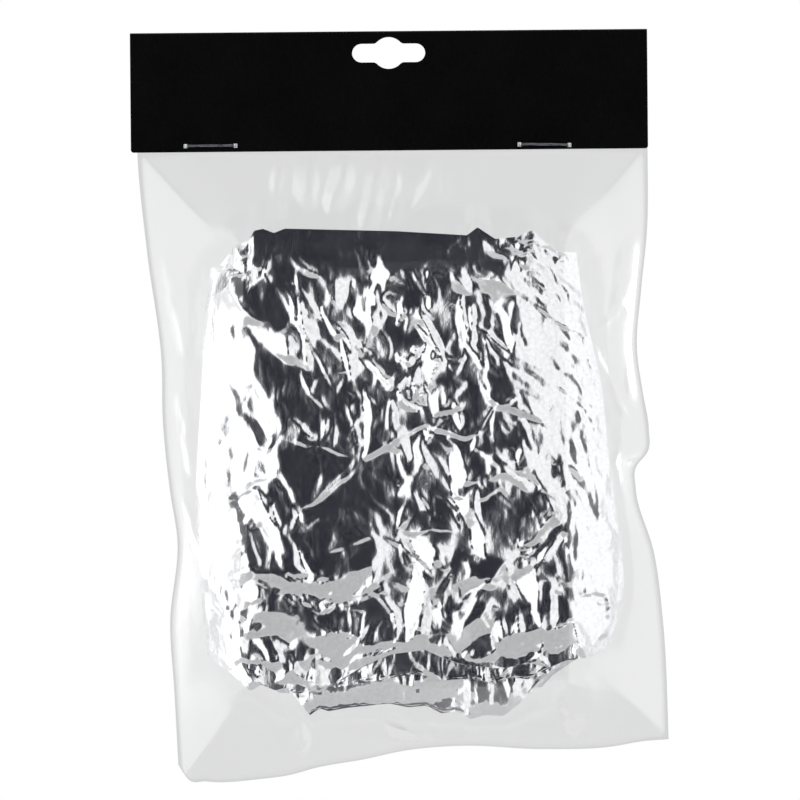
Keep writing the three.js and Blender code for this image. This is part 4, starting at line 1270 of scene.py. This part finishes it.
def dark_material():
    """A dark card, lighter towards its upright edges."""
    material, tree = new_tree("dark_card")
    place = add(tree, "ShaderNodeTexCoord").outputs["UV"]
    across = add(tree, "ShaderNodeSeparateXYZ", {0: place}).outputs[0]
    off = maths(tree, "ABSOLUTE", maths(tree, "SUBTRACT", across, 0.5))
    share = maths(tree, "POWER", ramp(tree, off, 0, 1, DARK_CARD_FADE), DARK_CARD_POWER)
    colour = mix_colour(tree, share, (0.030, 0.030, 0.042), (0.34, 0.34, 0.36))
    return finished(material, add(tree, "ShaderNodeEmission", {"Color": colour, "Strength": 1.0}))


def make_studio():
    glows = {side: glow_material(f"softbox_{side}", glow) for side, glow in SOFTBOX_GLOW.items()}
    dark = dark_material()
    half = SOFTBOX_SIZE[0] / 2
    foot = VIEW_Z - SOFTBOX_SIZE[1] / 2
    top = VIEW_Z + SOFTBOX_SIZE[1] / 2
    for name, turn in (("left", -1), ("right", 1)):
        for place, front in (("front", -1), ("back", 1)):
            cx = turn * SOFTBOX_REACH * math.sin(SOFTBOX_TURN)
            cy = front * SOFTBOX_REACH * math.cos(SOFTBOX_TURN)
            tx = half * math.cos(SOFTBOX_TURN)
            ty = -turn * front * half * math.sin(SOFTBOX_TURN)
            first = (cx - tx, cy - ty)
            second = (cx + tx, cy + ty)
            corners = [(*first, foot), (*second, foot), (*second, top), (*first, top)]
            panel(f"softbox_{place}_{name}", corners, glows[name])
    for name, front in (("front", -1), ("back", 1)):
        first = (-DARK_CARD_HALF_WIDTH, front * DARK_CARD_REACH)
        second = (DARK_CARD_HALF_WIDTH, front * DARK_CARD_REACH)
        low = [(*first, DARK_CARD_FOOT), (*second, DARK_CARD_FOOT)]
        piece = panel(f"dark_card_{name}", [*low, (*second, DARK_CARD_TOP), (*first, DARK_CARD_TOP)], dark)
        piece.visible_diffuse = False
        piece.visible_shadow = False
        piece.visible_transmission = False


def floor_material():
    """A pale floor that fades to white towards its rim, for the camera alone."""
    material, tree = new_tree("pale_floor")
    grain = noise(tree, (40, 40, 40), 3)
    colour = mix_colour(tree, grain, (0.88, 0.88, 0.88), (0.92, 0.92, 0.92))
    shade = add(tree, "ShaderNodeBsdfDiffuse", {"Color": colour})
    white = add(tree, "ShaderNodeEmission", {"Color": (1, 1, 1, 1), "Strength": 1.0})
    place = add(tree, "ShaderNodeTexCoord").outputs["Object"]
    flat = add(tree, "ShaderNodeVectorMath", {0: place, 1: (1, 1, 0)}, operation="MULTIPLY").outputs[0]
    away = add(tree, "ShaderNodeVectorMath", {0: flat}, operation="LENGTH").outputs["Value"]
    rim = ramp(tree, away, 0, 1, [share * FLOOR_RADIUS for share in FLOOR_RIM])
    seen = maths(tree, "MULTIPLY", rim, add(tree, "ShaderNodeLightPath").outputs["Is Camera Ray"])
    return finished(material, mix_shader(tree, seen, shade, white))


def make_floor():
    turns = [2 * math.pi * k / FLOOR_SIDES for k in range(FLOOR_SIDES)]
    points = [(FLOOR_RADIUS * math.cos(a), FLOOR_RADIUS * math.sin(a), FLOOR_Z) for a in turns]
    mesh = bpy.data.meshes.new("floor")
    mesh.from_pydata(points, [], [tuple(range(FLOOR_SIDES))])
    floor = placed("floor", mesh)
    mesh.materials.append(floor_material())


def dress(node, material):
    """Gives a CAD node its own finished material."""
    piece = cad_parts[node]
    piece.data.materials.clear()
    piece.data.materials.append(material)


bpy.context.scene.view_settings.view_transform = "Standard"
make_camera()
make_world()
make_studio()
make_floor()

dress("header_card", card_material())
steel = steel_material()
dress("left_staple", steel)
dress("right_staple", steel)

silver = foil_material()
foil, hem_path = cap_foil(silver)
hem = cap_hem(hem_path, silver)
elastic = cap_elastic(hem_path, elastic_material())
for piece, node, slot in (
    (foil, "cap_film", "cap_foil"),
    (hem, "cap_hem", "cap_foil"),
    (elastic, "cap_elastic", "elastic"),
):
    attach(piece, "cap")
    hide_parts(node)

clear = film_material()
for name, side, nodes in (
    ("bag_front", -1, ("bag_front_film", "bag_front_neck")),
    ("bag_back", 1, ("bag_back_film", "bag_back_neck")),
):
    film = bag_film(name, side, clear)
    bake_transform(film)
    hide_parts(*nodes)
